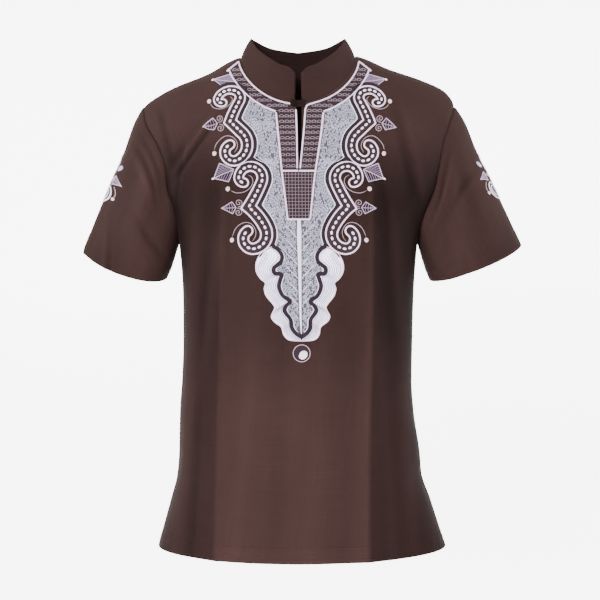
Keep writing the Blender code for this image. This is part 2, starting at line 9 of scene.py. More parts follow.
import bpy
import mathutils
import numpy as np
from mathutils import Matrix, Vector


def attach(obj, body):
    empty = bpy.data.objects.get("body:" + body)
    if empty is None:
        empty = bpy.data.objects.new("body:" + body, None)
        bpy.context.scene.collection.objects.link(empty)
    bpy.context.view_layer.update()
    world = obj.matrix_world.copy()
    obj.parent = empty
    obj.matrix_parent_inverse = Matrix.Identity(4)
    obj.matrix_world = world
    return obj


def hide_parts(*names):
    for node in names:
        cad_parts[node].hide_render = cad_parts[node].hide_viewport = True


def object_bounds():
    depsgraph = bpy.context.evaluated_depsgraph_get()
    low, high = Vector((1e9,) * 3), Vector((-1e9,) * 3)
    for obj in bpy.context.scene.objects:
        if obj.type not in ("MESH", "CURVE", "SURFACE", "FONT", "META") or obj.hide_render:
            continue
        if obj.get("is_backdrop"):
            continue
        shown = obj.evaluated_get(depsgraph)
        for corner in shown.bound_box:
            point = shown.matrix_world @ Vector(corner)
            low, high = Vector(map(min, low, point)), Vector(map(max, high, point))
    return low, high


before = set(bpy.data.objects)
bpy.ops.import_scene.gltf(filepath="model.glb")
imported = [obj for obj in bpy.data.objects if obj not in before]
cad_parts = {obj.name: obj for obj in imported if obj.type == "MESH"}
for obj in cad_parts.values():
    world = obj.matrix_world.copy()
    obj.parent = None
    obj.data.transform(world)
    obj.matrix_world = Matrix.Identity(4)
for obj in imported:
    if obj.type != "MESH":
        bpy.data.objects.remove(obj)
cad_low, cad_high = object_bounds()

MM = 0.001


class Table:
    """Rows of numbers under named columns, read at any value of the first column."""

    def __init__(self, names, rows):
        self.names = names.split()
        self.rows = np.array(sorted(rows), dtype=float)

    def __call__(self, name, at):
        """Smooth value of one column at the given places, with no overshoot."""
        xs, ys = self.rows[:, 0], self.rows[:, self.names.index(name)]
        at = np.clip(np.asarray(at, dtype=float), xs[0], xs[-1])
        steps = np.diff(xs)
        slopes = np.diff(ys) / steps
        before, after = slopes[:-1], slopes[1:]
        same_sign = before * after > 0
        inner = np.zeros(len(before))
        inner[same_sign] = (2 * before * after)[same_sign] / (before + after)[same_sign]
        tangents = np.concatenate([slopes[:1], inner, slopes[-1:]])
        k = np.clip(np.searchsorted(xs, at) - 1, 0, len(steps) - 1)
        t = (at - xs[k]) / steps[k]
        return (
            (1 + 2 * t) * (1 - t) ** 2 * ys[k]
            + t * (1 - t) ** 2 * steps[k] * tangents[k]
            + t * t * (3 - 2 * t) * ys[k + 1]
            + t * t * (t - 1) * steps[k] * tangents[k + 1]
        )


# Cloth walls, and the gap left at every seam
CLOTH = 1.0
COLLAR_CLOTH = 2.2
SEAM = 0.12
MITRE_LIMIT = 0.55

# Heights of the main levels
ARMPIT = -280.0
HEM_SIDE = -727.0
HEM_FRONT_DIP = 10.0
VENT_TOP = -623.0
VENT_SPREAD = 11.0

# The round of the shoulders, and how far down it reaches at the front and at the back
SHOULDER_ROUND = {"front": 280.0, "back": 200.0}
SHOULDER_POWER = 2.0

# How sharply the vent edges spread: across the panel, and down from the top of the vent
SPREAD_ACROSS = 6
SPREAD_DOWN = 1.5

# Grids: spans from the side to the crease and from there to the middle, rows above the armpit and others
SIDE_SPANS = 46
NECK_SPANS = 34
MIDDLE_COLUMN = SIDE_SPANS + NECK_SPANS
UPPER_ROWS = 78
SLEEVE_ROWS = 64
COLLAR_ROWS = 26
ROW_SAMPLES = 721
ROW_STEP = 4.2

# Heights above the hem of the grid rows that draw the turned hem
HEM_ROWS = (0, 0.6, 1.6, 3.5, 7, 11, 15, 18, 19.3, 20.2, 20.9, 21.6, 22.4, 23.4, 25.5, 29, 33)

# Spacing of the columns between the side edge and the crease, closer at the edge
SIDE_EASE = 0.35
SIDE_POWER = 1.8

# Body sections: half-widths on the -X and +X sides, depths in front of and behind the side seam, and the
# power of the rounded section (2 is an ellipse, more is squarer)
BODY = Table("height left right front back power side_seam", (
    (40, 252, 254, 98, 82, 2.5, 8),
    (-80, 249, 251, 102, 90, 2.5, 7),
    (-110, 246, 248, 107, 97, 2.5, 6),
    (-140, 240, 243, 112, 102, 2.5, 6),
    (-171, 228, 234, 116, 105, 2.5, 5),
    (-205, 212, 218, 118, 106, 2.6, 4),
    (-240, 189, 195, 118, 106, 2.7, 2),
    (-280, 177, 178, 118, 106, 2.8, 0),
    (-366, 170.5, 171.6, 114, 102, 3.0, 0),
    (-430, 170, 170, 112, 100, 3.0, 0),
    (-485, 172, 169, 112, 100, 3.0, 0),
    (-530, 175, 172, 114, 101, 3.0, 0),
    (-590, 176, 181, 117, 103, 2.9, 0),
    (-623, 179, 184, 120, 105, 2.8, 0),
    (-662, 189, 197, 124, 108, 2.7, 0),
    (-715, 203, 214, 129, 112, 2.6, 0),
    (-745, 210, 224, 131, 114, 2.6, 0),
))

# Armhole seams: distance from the middle plane, seen from the front and from the back
TIP_LEFT = 232.0
TIP_RIGHT = 235.5
ARMHOLE = Table("height front_left front_right back_left back_right", (
    (-75, TIP_LEFT, TIP_RIGHT, 232, 235.5),
    (-99, 227, 226, 228, 230),
    (-140, 205, 212, 214, 217),
    (-171, 194, 207, 206, 210),
    (-205, 191, 200, 198, 203),
    (-238, 181, 187, 184, 188),
    (-262, 178, 180, 179.5, 181),
    (-280, 177, 178, 177, 178),
))

# Shoulder seam: its height at each distance from the middle plane; inside the neck it is only a guide
SHOULDER_SEAM = Table("distance left right", (
    (0, 10, 11),
    (86, -1, 1),
    (137, -27, -19),
    (187, -47, -36),
    (219, -65, -51),
    (232, -75, -66),
    (235.5, -78, -75),
))

# Neck opening: its half-width, the heights of its lowest points and the roundness of the front
NECK_HALF = 86.0
NECK_LOWEST = {"front": -80.0, "back": -26.0}
NECK_POWER = 1.8
NECK_EASE = 0.075

# Middle of the front, where the slit is: its place and the slit's width, closed below the smallest width
SLIT_CLOSED = 0.5
MIDDLE = Table("height middle slit", (
    (-60, 0.0, 10.0),
    (-80, 0.5, 9.0),
    (-96, 1.8, 7.2),
    (-125, 2.0, 6.4),
    (-150, 2.0, 4.2),
    (-172, 2.0, 0.0),
    (-280, 3.0, 0.0),
    (-430, 4.0, 0.0),
    (-745, 3.0, 0.0),
))

# Pressed creases down the front and plain ones down the back: place and height of the ridge
CREASES = Table("height left right ridge", (
    (40, 86, 86, 0.0),
    (-80, 98, 96, 0.0),
    (-150, 106, 104, 2.0),
    (-280, 108, 106, 4.0),
    (-430, 110, 104, 4.5),
    (-600, 114, 100, 5.0),
    (-745, 116, 99, 5.0),
))
CREASE_REACH = 16.0
SLOPE_STEP = 0.2

# Pressed creases: height and half-width of their sharp line, softness of the change of plane, and the heights
# between which they fade out upward
CREASE_LINE = 0.8
CREASE_SOFT = 3.4
CREASE_BLUR = 3.5
CREASE_FADE = (-130, -230)

# Folds of the panels: two ends, height (below zero is a trough) and half-width; first the large soft ones
FOLD_COLUMNS = ("x0", "z0", "x1", "z1", "height", "width")
FOLD_EASE = 0.35
LARGE_FOLDS = {
    "front": (
        (-140, -118, -178, -215, 5.0, 15),
        (-152, -112, -188, -190, -3.0, 9),
        (168, -100, 182, -175, 4.0, 14),
        (-60, -430, -40, -640, 2.0, 30),
        (62, -420, 40, -560, 2.5, 34),
        (150, -300, 120, -420, 2.5, 24),
        (-150, -330, -128, -470, 2.5, 24),
    ),
    "back": (
        (-150, -110, -176, -220, 4.0, 16),
        (150, -112, 178, -215, 4.0, 16),
        (-50, -180, -70, -420, 3.0, 34),
        (55, -200, 78, -460, 3.0, 34),
        (0, -420, 8, -700, 3.0, 40),
    ),
}
SMALL_FOLDS = {
    "front": (
        (-133, -112, -163, -158, 2.6, 4),
        (-163, -158, -174, -228, 2.2, 4),
        (-133, -122, -166, -170, -3.4, 5),
        (-166, -170, -176, -232, -2.8, 5),
        (-142, -112, -176, -160, -2.0, 7),
        (-199, -100, -187, -150, -1.8, 6),
        (62, -440, 58, -722, -0.9, 20),
        (106, -420, 112, -722, 0.8, 9),
        (-4, -450, -2, -722, 0.5, 16),
        (-112, -300, -138, -470, 1.4, 9),
        (-150, -330, -168, -640, 1.6, 11),
        (-136, -420, -150, -690, -1.5, 8),
        (138, -330, 158, -640, 1.5, 10),
        (124, -250, 140, -420, -1.4, 8),
        (120, -480, 132, -700, 1.2, 9),
        (-62, -440, -84, -700, 0.9, 13),
        (-20, -470, -32, -700, -0.7, 14),
        (34, -460, 22, -700, 0.8, 14),
        (78, -470, 70, -690, -0.8, 11),
        (-96, -160, -100, -300, -0.8, 8),
        (96, -160, 98, -300, -0.8, 8),
        (158, -110, 176, -190, 1.4, 7),
        (146, -120, 168, -226, -1.4, 7),
    ),
    "back": (
        (-133, -120, -172, -200, 1.4, 8),
        (133, -120, 172, -200, 1.4, 8),
        (-90, -160, -110, -420, 1.0, 14),
        (92, -180, 104, -460, 1.0, 14),
        (-30, -300, -44, -640, 0.9, 16),
        (26, -330, 36, -690, -0.9, 15),
        (-128, -380, -150, -690, 1.3, 12),
        (130, -360, 150, -680, 1.2, 12),
    ),
}

# Cuffs: the corner away from the body, the corner beside it, half-depth and the dip of the front edge
CUFFS = {
    "sleeve_right": {"outer": (-319, 0, -286), "inner": (-197, 0, -333), "half_depth": 60, "dip": 19},
    "sleeve_left": {"outer": (333, 0, -281), "inner": (198, 0, -336), "half_depth": 60, "dip": 12},
}
CUFF_BACK_DIP = 0.35
SLEEVE_FULLNESS = 7.0

# Fullness of the sleeve head: its height, the place of its crest along the sleeve and its half-width
SLEEVE_HEAD = 5.0
SLEEVE_HEAD_AT = 0.14
SLEEVE_HEAD_WIDTH = 0.12

# Folds of a sleeve, large and small: turn round it (0 at the top, 0.5 at the underarm, the front between),
# place along it, slant in turns over its length, height and half-widths
SLEEVE_FOLD_EASE = 4.0
SLEEVE_FOLD_COLUMNS = ("turn", "along", "slant", "height", "turn_width", "along_width")
SLEEVE_FOLDS = {
    "sleeve_right": (
        (0.16, 0.22, 0.075, -3.0, 0.030, 0.34),
        (0.23, 0.30, 0.09, 3.0, 0.030, 0.38),
        (0.12, 0.80, 0.015, 3.0, 0.018, 0.45),
        (0.78, 0.40, -0.06, 3.0, 0.045, 0.40),
    ),
    "sleeve_left": (
        (0.20, 0.35, 0.09, -3.5, 0.030, 0.32),
        (0.28, 0.45, 0.09, 3.0, 0.030, 0.36),
        (0.36, 0.85, -0.105, 3.0, 0.030, 0.22),
        (0.76, 0.45, -0.06, 3.0, 0.045, 0.40),
    ),
}
SMALL_SLEEVE_FOLDS = {
    "sleeve_right": (
        (0.220, 0.82, 0.27, 1.8, 0.012, 0.15),
        (0.237, 0.82, 0.27, -1.7, 0.013, 0.15),
        (0.195, 0.15, 0.0, -2.6, 0.050, 0.020),
        (0.195, 0.20, 0.0, 1.6, 0.050, 0.028),
        (0.190, 0.07, 0.0, -1.4, 0.060, 0.018),
        (0.300, 0.32, -0.80, -1.6, 0.030, 0.080),
        (0.350, 0.60, 0.10, 1.2, 0.040, 0.200),
    ),
    "sleeve_left": (
        (0.205, 0.27, -0.78, -2.6, 0.026, 0.070),
        (0.180, 0.32, -0.78, 1.4, 0.026, 0.070),
        (0.260, 0.06, 0.0, -2.2, 0.060, 0.018),
        (0.260, 0.10, 0.0, 1.6, 0.060, 0.020),
        (0.330, 0.87, 0.0, 1.8, 0.090, 0.022),
        (0.340, 0.93, 0.0, -1.4, 0.090, 0.028),
        (0.300, 0.55, 0.20, -1.2, 0.030, 0.180),
    ),
}

# Stand collar: the top edge by its turn round the neck from the middle front (0) to the middle back (180)
COLLAR_TOP = Table("turn height", (
    (0, -27),
    (17, -24),
    (34, -13),
    (53, 1),
    (72, 16),
    (90, 28),
    (110, 27),
    (145, 18),
    (180, 13),
))
COLLAR_TOP_HALF = 71.0
COLLAR_TOP_FRONT = -61.0
COLLAR_TOP_BACK = 47.0
COLLAR_TOP_MIDDLE = 8.0
COLLAR_CORNER = 15.0
COLLAR_BOW = 1.5
COLLAR_SEAM = -1.0

# How far the two front edges of the collar lean out at the top, towards -X and +X
COLLAR_LEAN = (3.5, 1.0)

# Button at the neck base; its profile is radius and rise, as shares of the button's radius and thickness
BUTTON_RADIUS = 5.2
BUTTON_THICKNESS = 2.8
BUTTON_X = -6.5
BUTTON_Z = -82.0
BUTTON_STANDOFF = 2.6
BUTTON_PROFILE = (
    (0.0, 0.0),
    (0.55, 0.0),
    (0.90, 0.15),
    (1.0, 0.45),
    (0.93, 0.75),
    (0.70, 0.93),
    (0.35, 1.0),
    (0.0, 1.03),
)

# Tab of cloth from the other edge that the button holds
TAB_LEFT = -10.0
TAB_RIGHT = 11.0
TAB_TOP = -76.5
TAB_BOTTOM = -86.5
TAB_THICKNESS = 1.2
TAB_STANDOFF = 0.9
TAB_ROUND_END = 5.0
TAB_BLUNT = 0.95


def unit(vectors):
    return vectors / np.linalg.norm(vectors, axis=-1, keepdims=True)


def run_along(points):
    """Running length at each point of a line."""
    return np.concatenate([[0], np.cumsum(np.linalg.norm(np.diff(points, axis=0), axis=1))])


def smooth_step(edge0, edge1, value):
    t = np.clip((value - edge0) / (edge1 - edge0), 0, 1)
    return t * t * (3 - 2 * t)


def bell(value, width):
    return np.exp(-((value / width) ** 2))


def by_side(x, left, right):
    """The left value where x is below zero and the right value elsewhere."""
    return np.where(x < 0, left, right)


def shoulder_height(x):
    return by_side(x, SHOULDER_SEAM("left", np.abs(x)), SHOULDER_SEAM("right", np.abs(x)))


def top_edge(x, side, below):
    """Height of a panel's top edge, or of the line at a distance below it: shoulder seams and neckline."""
    ratio = np.clip(np.abs(x) / (NECK_HALF + below), 0, 1)
    lowest = NECK_LOWEST[side] - below
    corner = shoulder_height(np.sign(x) * NECK_HALF)
    neckline = corner + (lowest - corner) * (1 - ratio**NECK_POWER) ** (1 / NECK_POWER)
    return np.where(ratio < 1, np.minimum(neckline, shoulder_height(x) - below), shoulder_height(x) - below)


def fold_height(x, z, rows):
    """Sum of the soft folds at a place on a panel: a bell across each fold, eased at its two ends."""
    total = np.zeros_like(x)
    for row in rows:
        fold = dict(zip(FOLD_COLUMNS, row))
        dx, dz = fold["x1"] - fold["x0"], fold["z1"] - fold["z0"]
        length = math.hypot(dx, dz)
        along = ((x - fold["x0"]) * dx + (z - fold["z0"]) * dz) / length
        across = ((x - fold["x0"]) * dz - (z - fold["z0"]) * dx) / length
        past_end = np.maximum(np.maximum(-along, along - length), 0) / (FOLD_EASE * length)
        total += fold["height"] * np.exp(-((across / fold["width"]) ** 2) - past_end**2)
    return total


def sleeve_fold_height(turn, along, rows):
    """Sum of the folds at places round and along a sleeve."""
    total = np.zeros_like(along + turn)
    for row in rows:
        fold = dict(zip(SLEEVE_FOLD_COLUMNS, row))
        past = along - fold["along"]
        off = turn - fold["turn"] - fold["slant"] * past
        off = off - np.round(off)
        spread = (off / fold["turn_width"]) ** 2 + (past / fold["along_width"]) ** 2
        total += fold["height"] * np.exp(-spread)
    return total


def panel_y(x, z, side):
    """Outer surface of a body panel: how far forward (-Y) or back it is at a place seen from the front."""
    across = np.clip(np.abs(x) / by_side(x, BODY("left", z), BODY("right", z)), 0, 1)
    power = BODY("power", z)
    section = (1 - across**power) ** (1 / power)
    down = np.clip((shoulder_height(x) - z) / SHOULDER_ROUND[side], 0, 1)
    rounding = (1 - (1 - down) ** SHOULDER_POWER) ** (1 / SHOULDER_POWER)
    to_crease = np.abs(x - by_side(x, -CREASES("left", z), CREASES("right", z)))
    ridge = CREASES("ridge", z) * np.exp(-to_crease / CREASE_REACH)
    folds = fold_height(x, z, LARGE_FOLDS[side])
    spread = VENT_SPREAD * np.clip((VENT_TOP - z) / (VENT_TOP - HEM_SIDE), 0, 1) ** SPREAD_DOWN
    depth = (BODY(side, z) + folds * rounding + ridge) * section * rounding + spread * across**SPREAD_ACROSS
    depth += SEAM / 2
    return BODY("side_seam", z) + (-depth if side == "front" else depth)


def panel_row(level, side):
    """Points of one row of a panel. Levels run from 0 at the hem to 1 at the armpit and 2 at the top."""
    w = np.sin(np.linspace(-1, 1, ROW_SAMPLES) * math.pi / 2)
    if level <= 1:
        flat = HEM_SIDE + (ARMPIT - HEM_SIDE) * level
        x = w * by_side(w, BODY("left", flat), BODY("right", flat))
        dip = HEM_FRONT_DIP if side == "front" else 0.0
        z = flat - dip * (1 - w**2) * (1 - level) ** 2
    else:
        rise = level - 1
        tips = np.array([shoulder_tip(-1), shoulder_tip(1)])
        below_ends = (tips - ARMPIT) * (1 - rise)
        edges = tips - below_ends
        x = w * by_side(w, ARMHOLE(side + "_left", edges[0]), ARMHOLE(side + "_right", edges[1]))
        at_top = w * by_side(w, TIP_LEFT, TIP_RIGHT)
        share = (w + 1) / 2
        below, edge = (ends[0] + (ends[1] - ends[0]) * share for ends in (below_ends, edges))
        z = edge + (top_edge(at_top, side, below) - edge) * rise
    y = panel_y(x, z, side)
    return resample(np.stack([x, y, z], axis=1), row_breaks(x, z, level))


def shoulder_tip(direction):
    """Height of the shoulder seam's outer end."""
    reach = TIP_LEFT if direction < 0 else TIP_RIGHT
    return float(shoulder_height(np.array([direction * reach]))[0])


def row_breaks(x, z, level):
    """Places across a row where a pressed crease, the neck corner or the middle of the front lies."""
    middle_z = float(np.interp(0, x, z))
    neck_share = math.exp(-(2 - level) / NECK_EASE)
    creases = []
    for direction, name, tip in ((-1, "left", TIP_LEFT), (1, "right", TIP_RIGHT)):
        crease = float(CREASES(name, middle_z))
        at_neck = NECK_HALF * abs(x[0] if direction < 0 else x[-1]) / tip
        creases.append(direction * (crease + (at_neck - crease) * neck_share))
    return creases[0], float(MIDDLE("middle", middle_z)), creases[1]


def resample(points, breaks):
    """Points along each stretch of a row, denser at the side edges, with one point on each break."""
    lengths = run_along(points)
    marks = [0.0] + [float(np.interp(b, points[:, 0], lengths)) for b in breaks] + [lengths[-1]]
    even = np.linspace(0, 1, NECK_SPANS + 1)[1:]
    side = np.linspace(0, 1, SIDE_SPANS + 1)
    eased = SIDE_EASE * side + (1 - SIDE_EASE) * side**SIDE_POWER
    places = [np.zeros(1)]
    for start, end, share in zip(marks[:-1], marks[1:], (eased[1:], even, even, (1 - eased[::-1])[1:])):
        places.append(start + (end - start) * share)
    places = np.concatenate(places)
    return np.stack([np.interp(places, lengths, points[:, axis]) for axis in range(3)], axis=1)


def panel_levels():
    """Levels of a panel's grid rows, from the hem up: those of the turned hem, even ones and eased ones."""
    span = ARMPIT - HEM_SIDE
    above = np.arange(HEM_ROWS[-1] + ROW_STEP, span - 1, ROW_STEP)
    lower = [h / span for h in HEM_ROWS] + list(above / span)
    upper = [1.5 - 0.5 * math.cos(math.pi * j / UPPER_ROWS) for j in range(UPPER_ROWS + 1)]
    return lower + upper


LOWER_ROWS = len(panel_levels()) - UPPER_ROWS - 1


def panel_points(side):
    """Grid of a body panel: rows from the hem up, columns from -X to +X."""
    return np.array([panel_row(level, side) for level in panel_levels()])


def panel_normals(grid, side):
    """Outward directions of a body panel, from the slopes of its surface."""
    x, z = grid[..., 0], grid[..., 2]
    outward = -1.0 if side == "front" else 1.0
    slope_x = panel_y(x + SLOPE_STEP, z, side) - panel_y(x - SLOPE_STEP, z, side)
    slope_z = panel_y(x, z + SLOPE_STEP, side) - panel_y(x, z - SLOPE_STEP, side)
    normals = np.stack([-slope_x, np.full_like(x, 2 * SLOPE_STEP), -slope_z], axis=-1)
    return unit(normals * outward)


def derivative(grid, axis, closed):
    """Second-order differences along one axis of a grid of points, also at its ends."""
    if closed:
        return (np.roll(grid, -1, axis) - np.roll(grid, 1, axis)) / 2
    return np.gradient(grid, axis=axis, edge_order=2)


def tube_normals(grid, outward):
    """Outward directions of a closed tube of points; outward is 1 or -1 by the way its columns run."""
    return unit(np.cross(derivative(grid, 1, True), derivative(grid, 0, False))) * outward


def without_y(normals):
    """Normals turned into the plane of a side or shoulder seam, so that both walls end on that plane."""
    return unit(normals * np.array([1, 0, 1]))


def quads(index):
    """Quads between neighbours of a grid of vertex numbers."""
    corners_of = (index[..., :-1, :-1], index[..., :-1, 1:], index[..., 1:, 1:], index[..., 1:, :-1])
    return np.stack(corners_of, axis=-1).reshape(-1, 4)


def quad_faces(grid, closed=False):
    """Quads of a grid whose vertices are numbered row by row."""
    index = np.arange(grid.shape[0] * grid.shape[1]).reshape(grid.shape[:2])
    return quads(np.hstack([index, index[:, :1]]) if closed else index)


def split_slit(outer, inner, faces):
    """Opens the middle column of the front along the slit, and says which vertices were doubled.

    The vertex at the slit's lower end stays whole.
    """
    columns = outer.shape[1]
    width = MIDDLE("slit", outer[:, MIDDLE_COLUMN, 2])
    rows = np.flatnonzero(width > SLIT_CLOSED)
    doubled = rows * columns + MIDDLE_COLUMN
    shift = width[rows, None] / 2 * np.array([1, 0, 0])
    walls = []
    for wall in (outer.reshape(-1, 3), inner.reshape(-1, 3)):
        wall = np.vstack([wall, wall[doubled] + shift])
        wall[doubled] -= shift
        walls.append(wall)
    twins = np.arange(outer.shape[0] * columns)
    twins[doubled] = len(twins) + np.arange(len(doubled))
    on_right = (faces % columns).min(axis=1, keepdims=True) >= MIDDLE_COLUMN
    return walls[0], walls[1], np.where(on_right, twins[faces], faces), doubled


def sleeve_loop(front_edge, back_edge):
    """Closed armhole loop: from the shoulder tip down the front edge to the armpit and up the back edge."""
    tip = (front_edge[-1] + back_edge[-1]) / 2
    armpit = (front_edge[0] + back_edge[0]) / 2
    return np.array([tip] + list(front_edge[-2:0:-1]) + [armpit] + list(back_edge[1:-1]))


def cuff_ring(cuff, armhole):
    """One cuff point for each armhole point, at the same share of the way round the front or the back."""
    half = len(armhole) // 2
    outer, inner = np.array(cuff["outer"], float), np.array(cuff["inner"], float)
    centre, reach = (outer + inner) / 2, (outer - inner) / 2
    downward = unit(np.array([abs(reach[2]) * np.sign(outer[0]), 0, -abs(reach[0])]))
    loop = np.vstack([armhole, armhole[:1]])
    runs = run_along(loop[: half + 1]), run_along(loop[half:])
    angle = math.pi * np.concatenate([run[:-1] / run[-1] + n for n, run in enumerate(runs)])
    forward = np.sin(angle)
    dip = cuff["dip"] * (np.maximum(forward, 0) - CUFF_BACK_DIP * np.maximum(-forward, 0))
    points = centre + np.cos(angle)[:, None] * reach + dip[:, None] * downward
    points[:, 1] -= cuff["half_depth"] * forward
    return points, np.arange(2 * half) / (2 * half)


def sleeve_points(name, armhole):
    """Grid of a sleeve: rows from the armhole to the cuff, columns round it."""
    ring, turn = cuff_ring(CUFFS[name], armhole)
    s = np.linspace(0, 1, SLEEVE_ROWS + 1)[:, None]
    middle = armhole.mean(axis=0) + (ring.mean(axis=0) - armhole.mean(axis=0)) * s
    points = armhole + (ring - armhole) * s[..., None]
    round_out = np.abs(np.sin(2 * math.pi * turn)) * SLEEVE_FULLNESS * np.sin(math.pi * s)
    crest = bell(s - SLEEVE_HEAD_AT, SLEEVE_HEAD_WIDTH) * (s > 0)
    head = SLEEVE_HEAD * np.maximum(np.cos(2 * math.pi * turn), 0) * crest
    fold = sleeve_fold_height(turn, s, SLEEVE_FOLDS[name]) * np.minimum(1, s * SLEEVE_FOLD_EASE)
    return points + unit(points - middle[:, None]) * (round_out + head + fold)[..., None]


def neck_points(front, back):
    """Line of the neck seam: from the slit round the -X side, the back and the +X side to the slit again."""
    front, back = front[-1], back[-1]
    start, stop = SIDE_SPANS, SIDE_SPANS + 2 * NECK_SPANS
    half_slit = np.array([float(MIDDLE("slit", front[MIDDLE_COLUMN, 2])) / 2, 0, 0])
    return np.vstack([
        front[MIDDLE_COLUMN] - half_slit,
        front[MIDDLE_COLUMN - 1 : start : -1],
        (front[start] + back[start]) / 2,
        back[start + 1 : stop],
        (front[stop] + back[stop]) / 2,
        front[stop - 1 : MIDDLE_COLUMN : -1],
        front[MIDDLE_COLUMN] + half_slit,
    ])


def collar_grid(neckline):
    """Grid of the collar: rows from the neck seam up, columns from the left front edge round the back."""
    base = neckline + np.array([0, 0, COLLAR_SEAM])
    x = base[:, 0]
    in_front = base[:, 1] < COLLAR_TOP_MIDDLE
    angle = np.degrees(np.arcsin(np.minimum(1, np.abs(x) / NECK_HALF)))
    turn = np.where(in_front, angle, 180 - angle)
    depth = np.where(in_front, COLLAR_TOP_FRONT, COLLAR_TOP_BACK) - COLLAR_TOP_MIDDLE
    tops = np.stack([
        np.copysign(COLLAR_TOP_HALF * np.sin(np.radians(turn)), x),
        COLLAR_TOP_MIDDLE + depth * np.abs(np.cos(np.radians(turn))),
        COLLAR_TOP("height", turn),
    ], axis=1)
    from_edge = np.abs(tops[:, 0] - by_side(x, x[0], x[-1]))
    corner = np.where(in_front, np.clip(1 - from_edge / COLLAR_CORNER, 0, 1), 0)
    tops[:, 2] -= COLLAR_CORNER * (1 - np.sqrt(1 - corner**2))
    tops[0, 0] = x[0] - COLLAR_LEAN[0]
    tops[-1, 0] = x[-1] + COLLAR_LEAN[1]
    s = np.linspace(0, 1, COLLAR_ROWS + 1)[:, None, None]
    rows = base + (tops - base) * s
    outward = unit(rows * np.array([1, 1, 0]) - np.array([0, COLLAR_TOP_MIDDLE, 0]))
    return rows + outward * COLLAR_BOW * np.sin(math.pi * s)


def neck_seat(x, z):
    """Surface that the tab lies on: the front panel, and straight up from its edge over the collar."""
    return panel_y(x, np.minimum(z, NECK_LOWEST["front"]), "front")


def mitred(outer, normals, surface_normals, thickness):
    """Inner points of a wall, pushed further where the shared rim leans away from the surface."""
    lean = np.clip(np.sum(normals * surface_normals, axis=-1, keepdims=True), MITRE_LIMIT, 1)
    return outer - normals * thickness / lean


# Turned hems: depth of the fold, extra thickness and how soft its step is
HEM_DEPTH = 22.0
CUFF_HEM = 22.0
VENT_TURN = 11.0
HEM_RISE = 0.55
HEM_STEP = 0.8

# Stitch line of a turned hem: depth, half-width, and how far it is inside the fold's edge
STITCH_GROOVE = 0.5
STITCH_WIDTH = 1.0
HEM_STITCH = 2.2
EDGE_STITCH = 2.0

# Puckers of the body hem: height, pitch, the middle and half-width of their band above the hem
PUCKER = 0.18
PUCKER_PITCH = 17.0
PUCKER_DRIFT = (0.6, 9.0)
PUCKER_BAND = (14, 12)

# Rolled seams: depth, reach, and what is left of the roll at the neck
SEAM_ROLL = 1.1
SEAM_ROLL_WIDTH = 3.2
NECK_ROLL = 0.3

# How far from a side seam, a top edge and an armhole the small folds take to grow to their height
FOLD_FROM_SIDE = 30
FOLD_FROM_TOP = 40
FOLD_FROM_ARMHOLE = 12

# Painted shade and light, as shares of the cloth's colour stored on each vertex: darker side planes, seams,
# chest, fold troughs, sleeve ends, collar sides, tab and inside; lighter crease ridges, hem, lower front and
# shoulders.
# Pairs are of the pressed part and of the part above it, or a pair of heights
BACK_PAINTED_SHADE = 0.80
MIDDLE_PAINTED_SHADE = 0.84
PRESSED_SHADE = 0.07
LOWER_LIGHT = 0.30
LOWER_REACH = (-390, -540)
LEFT_SHADE = (0.45, 0.10)
RIGHT_SHADE = (0.56, 0.14)
RIDGE_LIGHT = 0.13
HEM_LIGHT = 0.06
SEAM_SHADE = 0.22
SEAM_SHADE_WIDTH = 30.0
SHOULDER_LIGHT = 0.32
SHOULDER_REACH = (-170, -110)
CHEST_SHADE = 0.08
CHEST_BAND = (-230, 60)
FOLD_PAINTED_SHADE = 0.10
PAINTED_SHADE_RANGE = (0.25, 1.4)
SLEEVE_PAINTED_SHADE = {"sleeve_right": 0.86, "sleeve_left": 0.92}
SLEEVE_SHADE = 0.22
SLEEVE_SHADE_REACH = (0.45, 0.95)
SLEEVE_FOLD_PAINTED_SHADE = 0.035
SLEEVE_PAINTED_SHADE_RANGE = (0.3, 1.4)
COLLAR_PAINTED_SHADE = 0.80
COLLAR_SHADE = 0.12
COLLAR_SHADE_REACH = (60, 90)
TAB_PAINTED_SHADE = 0.42
INSIDE_PAINTED_SHADE = 0.5

# Collar edges: roll and its reach, the stitch line beside them
COLLAR_ROLL = 0.75
COLLAR_ROLL_WIDTH = 1.3
COLLAR_STITCH = 4.5
COLLAR_GROOVE = 0.6 * STITCH_GROOVE
COLLAR_GROOVE_WIDTH = 0.8

# Tab and button: grid spans, rolled edge of the tab, pleats at the button's rim
TAB_SPANS = 44
TAB_LINES = 20
TAB_ROLL = 0.55
TAB_ROLL_WIDTH = 0.7
TAB_PADDING = 0.15
TAB_UNDER = 0.3
BUTTON_RINGS = 29
BUTTON_FACETS = 48
BUTTON_SMOOTHING = 3
PLEAT = 0.02
PLEATS = 9
PLEAT_FROM = 0.8

# Way round a sleeve in cloth coordinates
SLEEVE_UV = 400


def along_rows(grid):
    """Running length along each row of a grid."""
    steps = np.linalg.norm(np.diff(grid, axis=1), axis=2)
    return np.concatenate([np.zeros((grid.shape[0], 1)), np.cumsum(steps, axis=1)], axis=1)


def along_columns(grid):
    return along_rows(grid.swapaxes(0, 1)).T


def from_ends(run):
    """Distance to the nearer end of each row, from its running lengths."""
    return np.minimum(run, run[:, -1:] - run)


def turned_edge(distance, depth):
    """Extra thickness of a turned hem at distances from its edge."""
    return HEM_RISE * (1 - smooth_step(depth - HEM_STEP, depth + HEM_STEP, distance))


def stitch_line(distance, depth, inset):
    return STITCH_GROOVE * bell(distance - depth + inset, STITCH_WIDTH)


